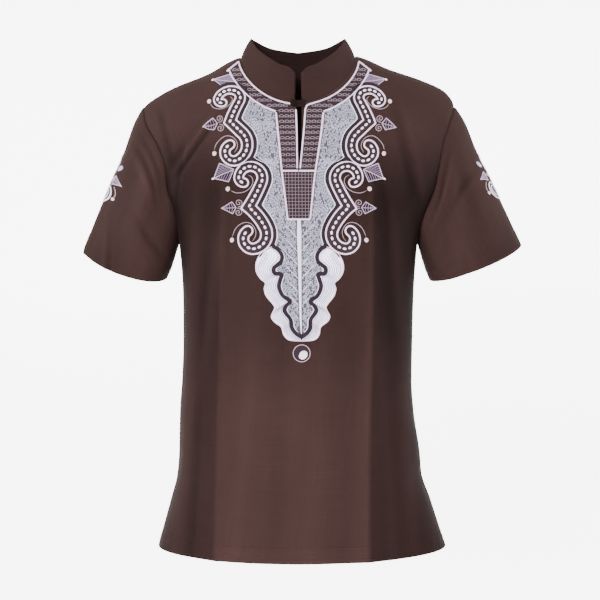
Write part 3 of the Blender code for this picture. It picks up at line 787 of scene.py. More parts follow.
def panel_relief(grid, side):
    """How far the cloth stands proud of the plain form: turned hem, turned vents, rolled seams and folds."""
    across, up, below_top = along_rows(grid), along_columns(grid), along_columns(grid[::-1])[::-1]
    to_side = from_ends(across)
    wave = np.sin(2 * math.pi * across / PUCKER_PITCH + PUCKER_DRIFT[0] * np.sin(across / PUCKER_DRIFT[1]))
    pucker = PUCKER * wave * bell(up - PUCKER_BAND[0], PUCKER_BAND[1])
    in_vent = smooth_step(VENT_TOP + 4, VENT_TOP - 4, grid[..., 2])
    vent = (turned_edge(to_side, VENT_TURN) - stitch_line(to_side, VENT_TURN, EDGE_STITCH)) * in_vent
    rolled = -SEAM_ROLL * np.exp(-to_side / SEAM_ROLL_WIDTH) * (1 - in_vent)
    columns = np.arange(grid.shape[1])
    neck = (columns >= SIDE_SPANS) & (columns <= SIDE_SPANS + 2 * NECK_SPANS)
    at_top = -SEAM_ROLL * np.exp(-below_top / SEAM_ROLL_WIDTH) * np.where(neck, NECK_ROLL, 1)
    small = fold_height(grid[..., 0], grid[..., 2], SMALL_FOLDS[side]) + crease_edge(grid)[0]
    small = small * smooth_step(0, FOLD_FROM_SIDE, to_side) * smooth_step(0, FOLD_FROM_TOP, below_top)
    hem = np.maximum(turned_edge(up, HEM_DEPTH), vent) - stitch_line(up, HEM_DEPTH, HEM_STITCH)
    return hem + pucker + rolled + small + at_top


def crease_edge(grid):
    """Sharp line of each pressed crease, and how far a place is past it, from 0 inside to 1 outside."""
    x, z = grid[..., 0], grid[..., 2]
    left, right = x + CREASES("left", z), x - CREASES("right", z)
    pressed = smooth_step(*CREASE_FADE, z)
    near = np.exp(-np.abs(left) / CREASE_SOFT) + np.exp(-np.abs(right) / CREASE_SOFT)
    ridge = CREASE_LINE * near * pressed
    outside = smooth_step(-CREASE_BLUR, CREASE_BLUR, -left), smooth_step(-CREASE_BLUR, CREASE_BLUR, right)
    return ridge, outside, pressed


def panel_painted_shading(grid, side):
    """Painted shade and light of a body panel, as a share of its colour: shaded side planes, seams and fold
    troughs, lit ridges and hem.
    """
    x, z = grid[..., 0], grid[..., 2]
    # Painted shade in the troughs of the small folds and painted light on their ridges
    folds = FOLD_PAINTED_SHADE * fold_height(x, z, SMALL_FOLDS[side])
    if side == "back":
        return BACK_PAINTED_SHADE + folds
    ridge, (left, right), pressed = crease_edge(grid)
    painted_shading = MIDDLE_PAINTED_SHADE - PRESSED_SHADE * pressed + LOWER_LIGHT * smooth_step(*LOWER_REACH, z)
    shades = [pair[0] * pressed + pair[1] * (1 - pressed) for pair in (LEFT_SHADE, RIGHT_SHADE)]
    painted_shading *= 1 - left * shades[0] - right * shades[1]
    painted_shading += RIDGE_LIGHT * ridge / CREASE_LINE
    in_hem = 1 - smooth_step(HEM_DEPTH - 1, HEM_DEPTH + 1, along_columns(grid))
    painted_shading += HEM_LIGHT * in_hem * (1 - left) * (1 - right)
    painted_shading *= 1 - SEAM_SHADE * np.exp(-from_ends(along_rows(grid)) / SEAM_SHADE_WIDTH)
    chest = CHEST_SHADE * bell(z - CHEST_BAND[0], CHEST_BAND[1])
    painted_shading *= 1 + SHOULDER_LIGHT * smooth_step(*SHOULDER_REACH, z) - chest
    return np.clip(painted_shading + folds, *PAINTED_SHADE_RANGE)


def make_mesh(name, points, faces, material, uv=None, painted_shading=None):
    """Mesh object from arrays in millimetres. uv holds one cloth or thread coordinate for each vertex."""
    mesh = bpy.data.meshes.new(name)
    mesh.from_pydata((np.asarray(points) * MM).tolist(), [], np.asarray(faces).tolist())
    if uv is not None:
        layer = mesh.uv_layers.new(name="cloth")
        loops = np.zeros(len(mesh.loops), dtype=np.int32)
        mesh.loops.foreach_get("vertex_index", loops)
        layer.data.foreach_set("uv", np.asarray(uv, dtype=np.float32)[loops].ravel())
    # Painted shade and light: a share of the colour for each vertex, which the cloth material multiplies in
    if painted_shading is not None:
        made = mesh.attributes.new("painted_shading", "FLOAT", "POINT")
        made.data.foreach_set("value", np.asarray(painted_shading, dtype=np.float32))
    mesh.materials.append(material)
    mesh.shade_smooth()
    obj = bpy.data.objects.new(name, mesh)
    bpy.context.scene.collection.objects.link(obj)
    return obj


def shell(node, outer, inner, faces, uv, painted_shading):
    """Closed cloth shell in a node's place: outer faces, the same turned inside, and a rim on every edge."""
    outer, inner = outer.reshape(-1, 3), inner.reshape(-1, 3)
    count = len(outer)
    edges = np.concatenate([faces[:, [i, (i + 1) % 4]] for i in range(4)])
    keys = edges[:, 0].astype(np.int64) * (2 * count) + edges[:, 1]
    back = edges[:, 1].astype(np.int64) * (2 * count) + edges[:, 0]
    rim = edges[~np.isin(keys, back)]
    walls = np.stack([rim[:, 1], rim[:, 0], rim[:, 0] + count, rim[:, 1] + count], axis=1)
    every = np.concatenate([faces, faces[:, ::-1] + count, walls])
    # Painted shade: the inside of the shell is darker than the outside
    shades = np.concatenate([painted_shading, np.full(count, INSIDE_PAINTED_SHADE)])
    both = np.concatenate([outer, inner])
    made = make_mesh(node + "_cloth", both, every, cloth, np.vstack([uv, uv]), shades)
    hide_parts(node)
    return made


def add_node(tree, kind, inputs=None, **settings):
    """One shader node, its settings, and its inputs as values or as sockets to link from."""
    made = tree.nodes.new("ShaderNode" + kind)
    for name, value in settings.items():
        setattr(made, name, value)
    for key, value in (inputs or {}).items():
        if isinstance(value, bpy.types.NodeSocket):
            tree.links.new(value, made.inputs[key])
        else:
            made.inputs[key].default_value = value
    return made


def new_material(name, **inputs):
    """Material whose shader has the given inputs, with the words of their names joined by underscores."""
    material = bpy.data.materials.new(name)
    material.use_nodes = True
    shader = material.node_tree.nodes["Principled BSDF"]
    for key, value in {"Sheen_Roughness": 0.45, "Sheen_Weight": 0.0, **inputs}.items():
        shader.inputs[key.replace("_", " ")].default_value = value
    return material, material.node_tree, shader


def scaled_uv(tree, u_scale, v_scale):
    uv = add_node(tree, "UVMap", uv_map="cloth")
    mapping = add_node(tree, "Mapping", {"Vector": uv.outputs["UV"], "Scale": (u_scale, v_scale, 1)})
    return mapping.outputs["Vector"]


def noise(tree, u_scale, v_scale, detail):
    inputs = {"Vector": scaled_uv(tree, u_scale, v_scale), "Scale": 1.0, "Detail": detail}
    return add_node(tree, "TexNoise", inputs).outputs["Fac"]


def combined(tree, first, second, operation="ADD"):
    return add_node(tree, "Math", {0: first, 1: second}, operation=operation).outputs[0]


def blended(tree, value, low, high, dark, light):
    """Colour between two others, by where a value lies between two limits."""
    ramp = add_node(tree, "MapRange", {"Value": value, "From Min": low, "From Max": high})
    mix = add_node(tree, "Mix", {"Factor": ramp.outputs[0], "A": dark, "B": light}, data_type="RGBA")
    return mix.outputs["Result"]


# Wave bands repeat every 0.314 units at scale 1
WAVE_UNIT = 0.3142


def bands(tree, u_scale, v_scale, pitch, direction, **options):
    inputs = {"Vector": scaled_uv(tree, u_scale, v_scale), "Scale": WAVE_UNIT / pitch}
    inputs.update({key.replace("_", " "): value for key, value in options.items()})
    return add_node(tree, "TexWave", inputs, bands_direction=direction).outputs["Fac"]


def cloth_material(name, colour, light, thread=0.62):
    """Plain-woven cotton blend: crossing threads, slubs along both ways, and soft blotches of colour, scaled
    by a painted shade and light stored on each vertex.
    """
    material, tree, shader = new_material(name, Roughness=0.86, Specular_IOR_Level=0.03, Sheen_Weight=0.004,
                                          Sheen_Tint=(0.86, 0.62, 0.55, 1))
    total = combined(tree, noise(tree, 0.012, 1.1, 2.0), noise(tree, 1.1, 0.012, 2.0))
    total = combined(tree, combined(tree, total, noise(tree, 0.9, 0.9, 3.0)), noise(tree, 0.010, 0.007, 3.0))
    warp, weft = (bands(tree, 1, 1, thread, way, Distortion=0.6, Detail=1.0) for way in "XY")
    high = combined(tree, combined(tree, warp, weft, "MULTIPLY"), total)
    bump = add_node(tree, "Bump", {"Height": high, "Strength": 0.32, "Distance": 0.00016})
    # Painted shade and light: the colour is multiplied by the share stored on each vertex
    painted_shading = add_node(tree, "Attribute", attribute_name="painted_shading")
    shaded_colour = {0: blended(tree, total, 1.45, 2.55, colour, light), "Scale": painted_shading.outputs["Fac"]}
    shaded_colour = add_node(tree, "VectorMath", shaded_colour, operation="SCALE")
    tree.links.new(shaded_colour.outputs["Vector"], shader.inputs["Base Color"])
    tree.links.new(bump.outputs["Normal"], shader.inputs["Normal"])
    return material


cloth = cloth_material("brown_cloth", (0.0155, 0.0078, 0.0070, 1.0), (0.0225, 0.0118, 0.0108, 1.0))
button_cloth = cloth_material("button_cloth", (0.0030, 0.0022, 0.0022, 1.0), (0.0055, 0.0040, 0.0040, 1.0),
                              0.4)


def cloth_uv(grid):
    return np.stack([along_rows(grid).ravel(), along_columns(grid).ravel()], axis=1)


def build_panels():
    """Front, back and sleeves with shared seam points: objects, surfaces with normals, and neck seam."""
    front, back = panel_points("front"), panel_points("back")
    surface = {"front": panel_normals(front, "front"), "back": panel_normals(back, "back")}
    rims = {side: normals.copy() for side, normals in surface.items()}
    neck = slice(SIDE_SPANS + 1, SIDE_SPANS + 2 * NECK_SPANS)
    for normals in rims.values():
        for edge in (0, -1):
            normals[: LOWER_ROWS + 1, edge] = without_y(normals[: LOWER_ROWS + 1, edge])
        for shoulder in (slice(0, neck.start), slice(neck.stop, None)):
            normals[-1, shoulder] = without_y(normals[-1, shoulder])

    objects, surfaces = {}, {}
    for name, edge, outward in (("sleeve_right", 0, -1), ("sleeve_left", -1, 1)):
        armhole = sleeve_loop(front[LOWER_ROWS:, edge], back[LOWER_ROWS:, edge])
        grid = sleeve_points(name, armhole)
        normals = tube_normals(grid, outward)
        panel_rim = sleeve_loop(surface["front"][LOWER_ROWS:, edge], surface["back"][LOWER_ROWS:, edge])
        shared = unit(unit(panel_rim) + normals[0])
        tangent = unit(derivative(armhole[None], 1, True)[0])
        grid[0] = armhole + unit(np.cross(shared, tangent)) * outward * SEAM
        half = len(armhole) // 2
        rims["front"][LOWER_ROWS:, edge] = shared[half::-1]
        rims["back"][LOWER_ROWS:, edge] = np.concatenate([shared[half:], shared[:1]])
        rim = np.concatenate([shared[None], normals[1:]])
        down = along_columns(grid)
        to_cuff, along = down[-1] - down, down / down[-1].max()
        turn = np.linspace(0, 1, grid.shape[1], endpoint=False)[None]
        large = sleeve_fold_height(turn, along, SLEEVE_FOLDS[name])
        small = sleeve_fold_height(turn, along, SMALL_SLEEVE_FOLDS[name])
        relief = turned_edge(to_cuff, CUFF_HEM) - stitch_line(to_cuff, CUFF_HEM, EDGE_STITCH)
        roll = SEAM_ROLL * np.exp(-down / SEAM_ROLL_WIDTH)
        relief += small * smooth_step(0, FOLD_FROM_ARMHOLE, down) - roll
        outer = grid + rim * relief[..., None]
        # Painted shade: each sleeve darker towards the cuff, with painted light on fold ridges and painted
        # shade in fold troughs
        painted_shading = SLEEVE_PAINTED_SHADE[name] * (1 - SLEEVE_SHADE * smooth_step(*SLEEVE_SHADE_REACH, along))
        painted_shading = np.clip(painted_shading + SLEEVE_FOLD_PAINTED_SHADE * large + FOLD_PAINTED_SHADE * small, *SLEEVE_PAINTED_SHADE_RANGE)
        round_it = np.tile(np.linspace(0, SLEEVE_UV, grid.shape[1]), grid.shape[0])
        uv = np.stack([round_it, down.ravel()], axis=1)
        faces = quad_faces(grid, closed=True)[:, ::outward]
        objects[name] = shell(name, outer, mitred(outer, rim, normals, CLOTH), faces, uv, painted_shading.ravel())
        surfaces[name] = (outer, normals)

    for side, grid in (("front", front), ("back", back)):
        outer = grid + rims[side] * panel_relief(grid, side)[..., None]
        inner = mitred(outer, rims[side], surface[side], CLOTH)
        faces, uv, painted_shading = quad_faces(grid), cloth_uv(grid), panel_painted_shading(grid, side).ravel()
        if side == "front":
            outer, inner, faces, doubled = split_slit(outer, inner, faces)
            uv, painted_shading = np.vstack([uv, uv[doubled]]), np.concatenate([painted_shading, painted_shading[doubled]])
        else:
            faces = faces[:, ::-1]
        objects[side] = shell(side, outer, inner, faces, uv, painted_shading)
    return objects, surfaces, neck_points(front, back)


def build_collar(neckline):
    """Stand collar of two layers, with rolled edges."""
    grid = collar_grid(neckline)
    away = grid - np.array([0, COLLAR_TOP_MIDDLE, 0])
    normals = unit(away * np.array([1, (COLLAR_TOP_HALF / (COLLAR_TOP_MIDDLE - COLLAR_TOP_FRONT)) ** 2, 0]))
    to_edge = np.minimum(along_columns(grid[::-1])[::-1], from_ends(along_rows(grid)))
    roll = COLLAR_ROLL * np.exp(-to_edge / COLLAR_ROLL_WIDTH)
    line = COLLAR_GROOVE * bell(to_edge - COLLAR_STITCH, COLLAR_GROOVE_WIDTH)
    outer = grid - normals * (roll + line)[..., None]
    inner = grid - normals * (COLLAR_CLOTH - roll)[..., None]
    # Painted shade: the collar darker towards its sides
    painted_shading = COLLAR_PAINTED_SHADE * (1 - COLLAR_SHADE * smooth_step(*COLLAR_SHADE_REACH, np.abs(grid[..., 0])))
    return shell("collar", outer, inner, quad_faces(grid)[:, ::-1], cloth_uv(grid), painted_shading.ravel())


def build_tab():
    """Narrow loop of cloth across the top of the slit, its end rounded under the button."""
    x = np.linspace(TAB_LEFT, TAB_RIGHT, TAB_SPANS + 1)[:, None]
    into_end = np.clip((TAB_LEFT + TAB_ROUND_END - x) / TAB_ROUND_END, 0, TAB_BLUNT)
    half = (TAB_TOP - TAB_BOTTOM) / 2 * np.sqrt(1 - into_end**2)
    z = (TAB_TOP + TAB_BOTTOM) / 2 + half * np.linspace(1, -1, TAB_LINES + 1)
    x = x + 0 * z
    grid = np.stack([x, neck_seat(x, z), z], axis=-1)
    forward = np.array([0, -1, 0])
    to_edge = np.minimum(from_ends(along_rows(grid)), from_ends(along_columns(grid).T).T)
    roll = (TAB_ROLL * np.exp(-to_edge / TAB_ROLL_WIDTH))[..., None]
    inner = grid + forward * (TAB_STANDOFF + roll * TAB_UNDER)
    outer = grid + forward * (TAB_STANDOFF + TAB_THICKNESS + TAB_PADDING - roll)
    # Painted shade: the tab is an even dark share of the cloth colour
    return shell("button_tab", outer, inner, quad_faces(grid), cloth_uv(grid), np.full(z.size, TAB_PAINTED_SHADE))


def build_button():
    """Domed button covered in dark cloth, gathered at the rim."""
    ends = neck_seat(np.full(2, BUTTON_X), np.array([BUTTON_Z + BUTTON_RADIUS, BUTTON_Z - BUTTON_RADIUS]))
    outward = unit(np.array([0.0, -1.0, (ends[0] - ends[1]) / (2 * BUTTON_RADIUS)]))
    side = np.array([1.0, 0, 0])
    upward = np.cross(outward, side)
    base = np.array([BUTTON_X, ends.mean(), BUTTON_Z]) + outward * BUTTON_STANDOFF
    steps = np.linspace(0, len(BUTTON_PROFILE) - 1, BUTTON_RINGS)
    profile = np.array([np.interp(steps, range(len(BUTTON_PROFILE)), part) for part in zip(*BUTTON_PROFILE)])
    for _ in range(BUTTON_SMOOTHING):
        profile[:, 1:-1] = (profile[:, :-2] + 2 * profile[:, 1:-1] + profile[:, 2:]) / 4
    radius, rise = profile[:, :, None]
    turn = np.linspace(0, 2 * math.pi, BUTTON_FACETS, endpoint=False)
    pleat = 1 + PLEAT * np.sin(turn * PLEATS) * (radius > PLEAT_FROM)
    spoke = np.cos(turn)[:, None] * side + np.sin(turn)[:, None] * upward
    points = base + spoke * (radius * pleat)[..., None] * BUTTON_RADIUS
    points = points + outward * rise[..., None] * BUTTON_THICKNESS
    points[0], points[-1] = base, base + outward * rise[-1, 0] * BUTTON_THICKNESS
    uv = np.stack([np.tile(turn * BUTTON_RADIUS, BUTTON_RINGS), np.repeat(steps, BUTTON_FACETS)], axis=1)
    faces = quad_faces(points, closed=True)
    made = make_mesh("button_covered", points.reshape(-1, 3), faces, button_cloth, uv,
                     np.ones(len(uv)))
    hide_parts("button")
    return made


# Camera: 2 m in front, level, square on; 900 mm of view width at the origin's plane
CAMERA_AT = (3.0, -2000.0, -366.0)
LENS = 80.0
SENSOR = 36.0


def make_camera():
    data = bpy.data.cameras.new("camera")
    data.lens, data.sensor_width = LENS, SENSOR
    camera = bpy.data.objects.new("camera", data)
    camera.location = tuple(c * MM for c in CAMERA_AT)
    camera.rotation_euler = (math.radians(90), 0, 0)
    bpy.context.scene.collection.objects.link(camera)
    bpy.context.scene.camera = camera


# Floor and the backdrop that it curves up into: profile of distance behind and height
FLOOR_Z = -1250.0
FLOOR_FRONT = -3500.0
SWEEP_START = 2200.0
SWEEP_RADIUS = 900.0
WALL_TOP = 4200.0
FLOOR_HALF = 8000.0
SWEEP_STEPS = 16
FLOOR_GLOW = 2.2


def make_floor():
    angles = [math.pi / 2 * k / SWEEP_STEPS for k in range(1, SWEEP_STEPS + 1)]
    sweep = [(SWEEP_START + SWEEP_RADIUS * math.sin(a), FLOOR_Z + SWEEP_RADIUS * (1 - math.cos(a)))
             for a in angles]
    profile = [(FLOOR_FRONT, FLOOR_Z), (SWEEP_START, FLOOR_Z), *sweep, (SWEEP_START + SWEEP_RADIUS, WALL_TOP)]
    points = [(x, y, z) for y, z in profile for x in (-FLOOR_HALF, FLOOR_HALF)]
    faces = [(2 * k, 2 * k + 1, 2 * k + 3, 2 * k + 2) for k in range(len(profile) - 1)]
    material, tree, shader = new_material("pale_floor", Roughness=0.9, Specular_IOR_Level=0.1,
                                          Emission_Color=(1, 1, 1, 1), Emission_Strength=FLOOR_GLOW)
    grain = add_node(tree, "TexNoise", {"Scale": 2.0, "Detail": 2.0})
    tint = add_node(tree, "Mix", {"Factor": grain.outputs["Fac"], "A": (0.93, 0.93, 0.93, 1),
                                  "B": (0.96, 0.96, 0.955, 1)}, data_type="RGBA")
    tree.links.new(tint.outputs["Result"], shader.inputs["Base Color"])
    floor = make_mesh("floor", points, faces, material)
    floor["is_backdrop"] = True


# Lights: place, aim, size and power
LIGHT_COLUMNS = ("x", "y", "z", "aim_y", "aim_z", "size", "power")
LIGHTS = (
    (-620, -2450, 100, 0, -420, 500, 176),
    (1500, -1900, 300, 0, -340, 1400, 3),
    (0, -500, 1900, 0, -340, 1400, 26),
    (-1900, 300, 900, 3100, -300, 1500, 240),
    (1900, 300, 900, 3100, -300, 1500, 240),
)
WORLD_STRENGTH = 0.25


def make_lights():
    for n, row in enumerate(LIGHTS):
        light = dict(zip(LIGHT_COLUMNS, row))
        data = bpy.data.lights.new("soft_light_%d" % n, "AREA")
        data.energy, data.size = light["power"], light["size"] * MM
        lamp = bpy.data.objects.new(data.name, data)
        lamp.location = tuple(light[axis] * MM for axis in "xyz")
        toward = mathutils.Vector((-light["x"], light["aim_y"] - light["y"], light["aim_z"] - light["z"]))
        lamp.rotation_euler = toward.to_track_quat("-Z", "Y").to_euler()
        bpy.context.scene.collection.objects.link(lamp)
    world = bpy.data.worlds.new("studio")
    world.use_nodes = True
    background = world.node_tree.nodes["Background"]
    background.inputs["Color"].default_value = (1, 1, 1, 1)
    background.inputs["Strength"].default_value = WORLD_STRENGTH
    bpy.context.scene.world = world


# Embroidery, drawn in pattern coordinates: u is the distance from the middle line (below zero on the -X
# side, mirrored for the other half) and z the height on the cloth.
# The middle line of the pattern, and how much further out the -X half starts than the mirrored one
AXIS = Table("height middle skew", (
    (-745, 5.4, 0.0),
    (-430, 5.4, 0.0),
    (-390, 3.8, 1.4),
    (-316, 2.5, 2.2),
    (-280, 1.8, 2.6),
    (-235, 1.4, 2.5),
    (-190, 1.0, 1.8),
    (-155, 1.8, 0.0),
    (-112, 2.6, -1.5),
    (-75, 2.4, -1.7),
    (40, 0.0, 0.0),
))
SKEW_REACH = 40.0
SUNK = 0.25
PATH_STEP = 1.1

# Scrolls: start, heading, half-width of the band by its share of the length, spacing of the dashes, and arcs
# of a length and a turn in degrees; no length is a corner
SCROLLS = (
    {"start": (-110.1, -78.5), "heading": 195.8, "dash": 7.8,
     "half": (5.6, 5.6, 7.0, 7.6, 8.2, 7.5, 6.9, 6.6),
     "moves": ((14.1, -130.8), (31.8, -94.1), (18.0, -89.1), (34.2, 10.5), (0.0, 64.0), (25.6, -2.4),
               (46.6, -106.6), (41.2, -183.1))},
    {"start": (-79.9, -199.3), "heading": 178.2, "dash": 8.0,
     "half": (6.4, 6.5, 7.2, 7.8, 8.4, 8.0, 7.4, 7.0),
     "moves": ((11.7, -93.2), (23.8, -79.1), (34.4, -119.7), (40.5, -8.5), (0.0, 83.4), (38.3, -26.0),
               (38.6, -107.8), (37.4, -156.1))},
)
SHADOW_AWAY = 3.9
DASH_START = 3.6

# Lower motif: the dark inner contour and the outer edge of the satin lobes, from the top to the tip
LOBES_IN = ((-41.0, -289.5), (-33.7, -293.0), (-26.6, -301.5), (-27.0, -311.0), (-33.7, -317.0),
            (-38.6, -321.5), (-37.2, -328.0), (-27.2, -330.0), (-29.3, -338.0), (-31.1, -347.5),
            (-26.0, -359.0), (-15.2, -368.0),
            (-21.2, -375.0), (-23.0, -382.0), (-14.8, -393.0), (-13.2, -405.0), (-8.0, -412.5), (0.0, -418.0))
LOBES_OUT = ((-41.0, -291.0), (-48.0, -293.5), (-57.5, -301.0), (-63.6, -314.0), (-63.2, -326.0),
             (-57.6, -335.5), (-50.6, -342.0), (-52.3, -350.0), (-49.5, -360.0), (-40.0, -372.0),
             (-37.8, -378.0), (-42.6, -389.0),
             (-38.0, -397.0), (-28.5, -404.0), (-25.0, -415.0), (-17.5, -422.3), (0.0, -423.8))
LOBE_POINTS = 170
LOBE_AWAY = -3.0

# Lines across the lobes by their share of the width, and where the darker ones end
LOBE_LINES = (0.14, 0.30, 0.44, 0.57, 0.69, 0.82)
DARK_LINES = 0.6

# Dark fillings of the notches between the scrolls, and between the lower scroll and the lobes: place, lean
# and size
NOTCHES = (
    ((-64.5, -166.5), 0.6, (16.0, 9.0)),
    ((-41.5, -291.0), 2.3, (14.0, 8.0)),
)

# Placket: half its width at its heights, the cord beside the slit at the top and at the bar, the grid's pitch
PLACKET_TOP = -95.5
BAR_Z = -182.5
PANEL_FOOT = -252.0
PLACKET = ((PANEL_FOOT, -182, -88), (17.0, 25.0, 33.5))
SLIT_CORDS = {1: (2.0, 5.3), -1: (2.0, 7.9)}
SLIT_CORD_TOP = -90.0
GRID_PITCH = 4.9
GRID_LINES = 5

# Neckband: its cords' distances below the neckline, and how far below the shoulder it ends
BAND_INNER = 2.4
BAND_OUTER = 19.5
BAND_END = 7.0
BAND_FROM_MIDDLE = 13

# Ovals: rows down and steps across, half-sizes of one, and the heights where the rows change
OVAL_FIRST = -9.1
OVAL_ROW = 8.3
OVAL_STEP = 7.4
OVAL_HALF = (2.75, 1.7)
OVAL_LEAST = 1.0
OVAL_ROOM = 9.0
OVALS_ACROSS = 16
BAND_ROWS_TO = -84
BORDER_FROM = -98

# Spine: half its width by height; veins: first, last and pitch, their reach and their curve
SPINE = ((-418, -400, -330, -270, -253), (0.3, 1.2, 2.2, 3.2, 2.4))
SPINE_FOOT = -416
VEINS = (-282, -404, -9.5)
VEIN_LENGTH = (4.0, 24.0)
VEIN_CURVE = (1.15, -0.006)
VEIN_POINTS = 16

# Silver field: rows of stitches, their pitch, first distance from the edge, and the height where they get
# finer; the lengths and the share left out are for the coarse and the fine ones
STITCH_ROWS = 34
STITCH_PITCH = 2.05
STITCH_FIRST = 4.1
FINE_BELOW = -262.0
STITCH_LENGTHS = ((2.8, 5.2), (1.6, 3.2))
STITCH_SKIPS = (0.10, 0.20)
STITCH_GAPS = (0.3, 0.8)
STITCH_WIDTHS = (1.25, 1.75)
STITCH_HEIGHTS = (0.3, 0.5)
STITCH_LIFT = 0.3
STITCH_STRAY = 0.12
STITCH_LEAN = 0.10
SEED = 11
FIELD_HEIGHTS = (-74.0, -421.0, -1.6)
ECHO_AWAY = 3.5

# Patch on the outer side of each sleeve: where its middle line lies round the sleeve, its place along it,
# the lengths that count as a whole turn and as the whole sleeve, and how far the rows slope round it
SLEEVE_PATCHES = {"sleeve_right": 0.044, "sleeve_left": 0.027}
PATCH_ALONG = 0.52
PATCH_GIRTH = 367.0
PATCH_LENGTH = 229.0
PATCH_SLOPE = 0.71
PATCH_LOOP = ((20.0, -11.5), (28.0, -14.0), (32.5, -22.0), (31.0, -31.0), (24.0, -37.5), (15.0, -37.0),
              (9.5, -29.0), (10.5, -19.0))
PATCH_ARROW = ((40.0, -1.0), (26.0, 7.0), (23.5, 0.0), (25.0, -8.0))
PATCH_STEM = ((32.0, -9.0), (36.0, -13.0), (38.5, -18.0), (38.5, -23.0))
PATCH_BERRY = (38.0, -26.0)
PATCH_CORD = ((3.0, 36.0), (8.0, 33.0), (12.0, 26.0), (11.0, 17.0), (6.0, 10.0), (3.0, 2.0), (3.0, -20.0),
              (1.5, -34.0))
PATCH_LEAVES = (((26.0, 20.0), 1.0, (13.0, 7.0)), ((15.0, 1.0), 0.5, (9.0, 6.0)))
PATCH_RINGS = (0.62, 0.3)

# Small motifs beside the scrolls: arrowheads (tip, upper corner, notch, lower corner) with two curls, hatched
# squares (tip, upper, inner, lower), and berries on stems
ARROWS = (
    {"corners": ((-138.7, -115.3), (-124.2, -102.0), (-117.5, -110.2), (-122.4, -120.1)),
     "curls": ((-115.1, -102.9), (-113.3, -117.8))},
    {"corners": ((-112.0, -235.8), (-97.4, -226.7), (-91.5, -235.0), (-96.4, -243.6)),
     "curls": ((-87.9, -228.4), (-88.4, -241.8))},
)
CURL = {"radius": 5.8, "start": -100, "turns": 1.6, "inward": 0.12, "points": 44}
SQUARES = (
    ((-125.5, -39.6), (-101.4, -33.4), (-89.6, -47.2), (-112.1, -51.3)),
    ((-123.0, -192.3), (-114.2, -170.5), (-93.9, -179.7), (-101.8, -197.7)),
)
SQUARE_DOT = (-1.0, -0.4)
BERRIES = (
    {"at": (-130.5, -75.0), "stem": ((-129.4, -77.5), (-126.7, -82.3), (-121.8, -86.4), (-114.0, -88.0),
                                     (-105.5, -85.6), (-98.7, -79.8), (-96.1, -73.5), (-100.0, -68.4))},
    {"at": (-121.6, -155.7), "stem": ((-121.9, -150.5), (-119.3, -142.4), (-113.4, -135.2), (-106.2, -130.3),
                                      (-98.6, -130.2), (-92.6, -133.8), (-88.9, -140.0), (-88.4, -147.0),
                                      (-92.5, -155.0))},
    {"at": (-102.9, -207.9), "stem": ((-99.4, -210.0), (-91.9, -213.6), (-83.4, -213.6), (-75.6, -210.6),
                                      (-69.6, -205.0), (-66.9, -197.8), (-68.4, -191.6), (-74.0, -188.0))},
    {"at": (-97.9, -281.0), "stem": ((-97.3, -276.5), (-93.4, -266.5), (-87.0, -259.6), (-78.8, -256.2),
                                     (-71.0, -257.8), (-66.0, -263.2), (-63.6, -270.0), (-65.0, -277.5),
                                     (-69.0, -283.0))},
)
BERRY_LEAN = 1.3

# Ring and dot below the tip
RING_AT = (0.0, -441.5)
RING_RADIUS = 12.0
DOT_AT = (2.2, -444.0)

# Lines by role: thread, half-width, height and lift above the cloth
LINES = {
    "ground": ("ground", 0.0, 0.22, 0.0),
    "scroll": ("cords", 1.2, 0.95, 0.1),
    "scroll_shadow": ("dark", 2.7, 0.55, 0.38),
    "lobe_shadow": ("dark", 3.2, 0.55, 0.5),
    "field_echo": ("echo", 0.7, 0.7, 0.3),
    "dark_lobe_line": ("violet", 0.66, 0.45, 0.96),
    "pale_lobe_line": ("fine", 0.66, 0.45, 0.96),
    "lobe_edge": ("cords", 0.85, 0.85, 0.25),
    "border": ("cords", 1.3, 0.9, 0.35),
    "slit": ("cords", 1.15, 0.9, 0.15),
    "neck": ("cords", 1.15, 0.9, 0.2),
    "bar": ("cords", 1.3, 0.9, 0.2),
    "band": ("cords", 1.2, 0.9, 0.3),
    "foot": ("cords", 1.3, 0.8, 0.35),
    "spine": ("echo", 0.0, 0.9, 0.45),
    "vein": ("echo", 0.40, 0.5, 0.38),
    "faint_vein": ("silver", 0.40, 0.5, 0.38),
    "oval": ("checks", 0.36, 0.45, 0.15),
    "grid": ("checks", 0.27, 0.35, 0.1),
    "arrow": ("fine", 0.6, 0.6, 0.15),
    "arrow_middle": ("violet", 0.6, 0.55, 0.15),
    "arrow_hatch": ("violet", 0.34, 0.4, 0.12),
    "curl": ("stems", 0.55, 0.5, 0.12),
    "square": ("fine", 0.6, 0.55, 0.15),
    "square_middle": ("fine", 0.6, 0.6, 0.2),
    "square_hatch": ("violet", 0.3, 0.4, 0.1),
    "stem": ("stems", 0.48, 0.42, 0.1),
    "ring": ("fine", 0.5, 0.5, 0.1),
    "patch_inner": ("echo", 0.7, 0.6, 0.15),
    "patch_arrow": ("fine", 0.7, 0.6, 0.15),
    "patch_hatch": ("violet", 0.5, 0.45, 0.12),
    "patch_stem": ("stems", 0.6, 0.5, 0.12),
}

# Satin pads by role: thread, length and width, height and lift
PADS = {
    "dash": ("dashes", (5.6, 3.6), 0.75, 0.15),
    "notch": ("dark", None, 0.45, 0.3),
    "square_dot": ("dashes", (4.6, 2.8), 0.6, 0.1),
    "berry": ("berries", (6.9, 6.0), 1.1, 0.1),
    "ring_ground": ("ground", (23.0, 23.0), 0.2, 0.0),
    "ring_dot": ("dashes", (14.0, 11.5), 0.9, 0.2),
    "patch_leaf": ("silver", None, 0.75, 0.15),
    "patch_berry": ("berries", (5.5, 4.6), 0.9, 0.1),
}

# Short stitches of the checks by role: length, width, height and lift
STITCHES = {
    "link": (2.4, 0.8, 0.4, 0.15),
    "lean": (1.7, 0.6, 0.3, 0.12),
    "patch": (3.2, 1.4, 0.5, 0.15),
}

